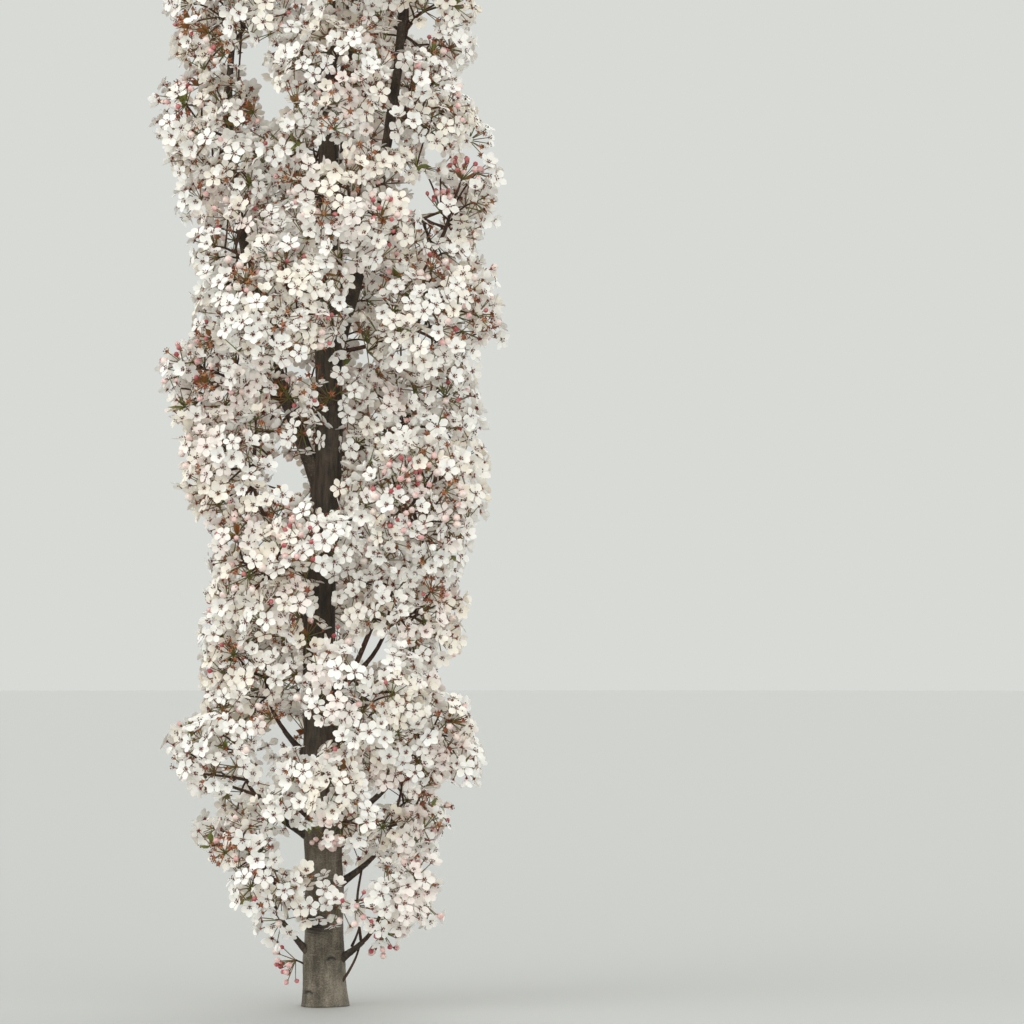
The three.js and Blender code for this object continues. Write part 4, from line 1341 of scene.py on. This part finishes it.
def leaf_shape(curl):
    """A young leaf, folded along its middle."""
    points = [(0, 0, 0)]
    for share, half_width in LEAF_ROWS:
        for side in (-1, 0, 1):
            points.append((side * half_width, curl * share ** 2 + LEAF_FOLD * abs(side), share))
    points.append((0, curl, 1))
    return points, [(0, 2, 1), (0, 3, 2), (1, 2, 5, 4), (2, 3, 6, 5), (4, 5, 7), (5, 6, 7)]


petal_shapes = [petals_shape(*form) for form in FORMS]
stamen_shapes = [stamens_shape(spread) for spread in SPREADS]
# behind petals, under a bud, and the bare star in two forms
calyx_shapes = [calyx_shape(-0.06, 0.33), calyx_shape(0.2, 0.3)]
star_shapes = [calyx_shape(0.03, 0.45, 0.17), calyx_shape(0.14, 0.42, 0.17)]
bud_shapes = [bud_shape(0.28, 0.68), bud_shape(0.31, 0.60)]
leaf_shapes = [leaf_shape(-0.1), leaf_shape(0.15), leaf_shape(0.3)]
print("faces in a flower:", [len(shapes[0][1]) for shapes in (petal_shapes, stamen_shapes, calyx_shapes)])

# %% [markdown]
# ## A Geometry Nodes tree that deals out shapes
# Thousands of equal shapes could be copied in Python, point by point. Geometry Nodes do it faster and say
# it more plainly: on each point one shape of a collection is placed, turned to face along the point's own
# direction, spun about it and sized. The instances are then realized, because only real faces are
# exported, and the result becomes a plain mesh.

# %% A Geometry Nodes tree that deals out shapes
def new_tree(name, **inputs):
    """A tree with a named input of each kind, and the outputs of its input node."""
    tree = bpy.data.node_groups.new(name, "GeometryNodeTree")
    for label, kind in inputs.items():
        tree.interface.new_socket(label, in_out="INPUT", socket_type="NodeSocket" + kind)
    return tree, tree.nodes.new("NodeGroupInput").outputs


def geo_node(tree, kind, settings=None, sockets=None, output=0):
    """Adds a node: its settings first, then the values or links of its sockets. Gives one output."""
    made = tree.nodes.new(kind)
    for name, value in (settings or {}).items():
        setattr(made, name, value)
    for name, value in (sockets or {}).items():
        if isinstance(value, bpy.types.NodeSocket):
            tree.links.new(value, made.inputs[name])
        else:
            made.inputs[name].default_value = value
    return made.outputs[output]


def field_of(tree, name, kind="FLOAT"):
    return geo_node(tree, "GeometryNodeInputNamedAttribute", {"data_type": kind}, {"Name": name},
                    output="Attribute")


def finish_tree(tree, geometry, material):
    """Ends a tree: real faces, then their finish."""
    real = geo_node(tree, "GeometryNodeRealizeInstances", {}, {"Geometry": geometry})
    done = geo_node(tree, "GeometryNodeSetMaterial", {}, {"Geometry": real, "Material": material})
    tree.interface.new_socket("Geometry", in_out="OUTPUT", socket_type="NodeSocketGeometry")
    tree.links.new(done, tree.nodes.new("NodeGroupOutput").inputs[0])
    return tree


def dealing_tree():
    tree, given = new_tree("dealing", Points="Geometry", Shapes="Collection", Radius="Float",
                           Finish="Material")
    shapes = geo_node(tree, "GeometryNodeCollectionInfo", {},
                      {"Collection": given["Shapes"], "Separate Children": True, "Reset Children": True})
    facing = geo_node(tree, "FunctionNodeAlignRotationToVector", {"axis": "Z"},
                      {"Vector": field_of(tree, "facing", "FLOAT_VECTOR")})
    spin = geo_node(tree, "FunctionNodeAxisAngleToRotation", {},
                    {"Axis": (0, 0, 1), "Angle": field_of(tree, "spin")})
    turned = geo_node(tree, "FunctionNodeRotateRotation", {"rotation_space": "LOCAL"},
                      {"Rotation": facing, "Rotate By": spin})
    size = geo_node(tree, "ShaderNodeMath", {"operation": "MULTIPLY"},
                    {0: field_of(tree, "size"), 1: given["Radius"]})
    dealt = geo_node(tree, "GeometryNodeInstanceOnPoints", {}, {
        "Points": given["Points"], "Instance": shapes, "Pick Instance": True,
        "Instance Index": field_of(tree, "form", "INT"), "Rotation": turned, "Scale": size})
    return finish_tree(tree, dealt, given["Finish"])


def grown(name, points, edges, attributes, tree, inputs):
    """The plain mesh that a tree grows on points in millimetres, which carry attributes of a kind each."""
    mesh = bpy.data.meshes.new(name + "_places")
    mesh.from_pydata((np.array(points) * MM).tolist(), edges, [])
    for label, (kind, values) in attributes.items():
        data = mesh.attributes.new(label, kind, "POINT").data
        data.foreach_set("vector" if kind == "FLOAT_VECTOR" else "value", np.array(values).ravel())
    carrier = link(name + "_places", mesh)
    modifier = carrier.modifiers.new(tree.name, "NODES")
    modifier.node_group = tree
    for socket in tree.interface.items_tree:
        if socket.name in inputs:
            modifier[socket.identifier] = inputs[socket.name]
    bpy.context.view_layer.update()
    made = bpy.data.meshes.new_from_object(carrier.evaluated_get(bpy.context.evaluated_depsgraph_get()))
    made.name = name
    for label in attributes:
        if label in made.attributes:
            made.attributes.remove(made.attributes[label])
    bpy.data.objects.remove(carrier)
    return made


def triangles_of(mesh):
    return sum(len(polygon.vertices) - 2 for polygon in mesh.polygons)


def add_piece(name, mesh, nodes):
    piece = link(name, mesh)
    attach(piece, "root")
    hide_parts(*nodes)
    print(f"{name}: {triangles_of(mesh)} triangles")


def mass_nodes(numbers):
    return [f"blossom_{spaces[number].name}" for number in sorted(set(numbers))]


DEALING = dealing_tree()
print(len(DEALING.nodes), "nodes in the dealing tree")

# %% [markdown]
# ## Dealing out the flowers
# Petals of one finish are one piece, parted by height where they would be too many for one. The stamens,
# the calyxes, the buds and the leaves are pieces of their own, because each is another tissue with another
# finish.

# %% Dealing out the flowers
LEAF_LENGTH, TOP = 15, 2000
# the heights between which the flowers of one piece stand
WHOLE, HALVES, THIRDS = (0, TOP), (0, 800, TOP), (0, 540, 1060, TOP)


def deal(name, shapes, growths, finish, cuts=WHOLE, radius=FLOWER_RADIUS, form_of=None):
    """Makes one piece, or one for each stretch of height, with a shape at each flower, bud or leaf.

    The shape is picked by form_of, or else by the growth's spin.
    """
    shelf = bpy.data.collections.new(name + "_shapes")
    for i, (points, faces) in enumerate(shapes):
        mesh = bpy.data.meshes.new(f"{name}_shape_{i}")
        mesh.from_pydata([tuple(point) for point in points], [], faces)
        mesh.shade_smooth()
        shelf.objects.link(bpy.data.objects.new(f"{name}_shape_{i}", mesh))
    for part, (low, high) in enumerate(zip(cuts, cuts[1:])):
        rows = [growth for growth in growths if low <= growth.place[2] < high]
        forms = [form_of(row) if form_of else int(row.spin * 10) % len(shapes) for row in rows]
        attributes = {
            "facing": ("FLOAT_VECTOR", [row.facing for row in rows]),
            "spin": ("FLOAT", [row.spin for row in rows]),
            "size": ("FLOAT", [row.size for row in rows]),
            "form": ("INT", forms),
        }
        inputs = {"Shapes": shelf, "Radius": radius * MM, "Finish": finish}
        label = name if cuts == WHOLE else f"{name}_{part + 1}"
        made = grown(label, [row.place for row in rows], [], attributes, DEALING, inputs)
        add_piece(label, made, mass_nodes(row.number for row in rows))
    for shape in list(shelf.objects):
        bpy.data.objects.remove(shape)
    bpy.data.collections.remove(shelf)


blossoms = [flower for flower in flowers if flower.form != BARE]
bare_ones = [flower for flower in flowers if flower.form == BARE]
for tint, (name, cuts) in enumerate((("white", THIRDS), ("cream", WHOLE), ("blush", WHOLE))):
    rows = [flower for flower in blossoms if flower.tint == tint]
    deal("petals_" + name, petal_shapes, rows, PETAL_FINISHES[tint], cuts, form_of=lambda row: row.form)
deal("stamens", stamen_shapes, flowers, stamen_finish, HALVES, form_of=lambda row: row.form % len(FORMS))
deal("calyxes", calyx_shapes, blossoms + buds, calyx_finish, HALVES,
     form_of=lambda row: int(row.form is None))
deal("bare_stars", star_shapes, bare_ones, star_finish)
for tint, name in enumerate(("buds_red", "buds_pink", "buds_pale")):
    deal(name, bud_shapes, [bud for bud in buds if bud.tint == tint], BUD_FINISHES[tint])
for tint, name in enumerate(("leaves_bronze", "leaves_olive")):
    rows = [leaf for leaf in leaves if leaf.tint == tint]
    deal(name, leaf_shapes, rows, LEAF_FINISHES[tint], radius=LEAF_LENGTH)

# %% [markdown]
# ## Wood and stalks along their lines
# Every twig and stalk is a line with a thickness at each point. A second tree turns the lines into curves,
# sweeps a small ring along them at that thickness and closes the ends. A mesh tube for each line would do
# the same with much more to write.

# %% Wood and stalks along their lines
TWIG_SIDES, STALK_SIDES = 5, 3


def sweeping_tree():
    tree, given = new_tree("sweeping", Lines="Geometry", Sides="Int", Finish="Material")
    curves = geo_node(tree, "GeometryNodeMeshToCurve", {}, {"Mesh": given["Lines"]})
    ring = geo_node(tree, "GeometryNodeCurvePrimitiveCircle", {},
                    {"Resolution": given["Sides"], "Radius": 1.0})
    swept = geo_node(tree, "GeometryNodeCurveToMesh", {}, {
        "Curve": curves, "Profile Curve": ring, "Scale": field_of(tree, "thickness"), "Fill Caps": True})
    return finish_tree(tree, swept, given["Finish"])


SWEEPING = sweeping_tree()


def sweep(name, rows, sides, finish):
    """Makes one piece of tubes from rows of points, radii and mass."""
    points, thickness, edges = [], [], []
    for path, radii, _ in rows:
        edges += [(len(points) + i, len(points) + i + 1) for i in range(len(path) - 1)]
        points += list(path)
        thickness += (radii * MM).tolist()
    inputs = {"Sides": sides, "Finish": finish}
    made = grown(name, points, edges, {"thickness": ("FLOAT", thickness)}, SWEEPING, inputs)
    made.shade_smooth()
    add_piece(name, made, mass_nodes(number for _, _, number in rows))


sweep("twigs", lines, TWIG_SIDES, twig_finish)
sweep("stalks", stalks, STALK_SIDES, stalk_finish)
add_piece("trunk_with_relief", trunk_mesh, ["trunk"])
add_piece("limbs_with_relief", limb_mesh, list(limb_paths))
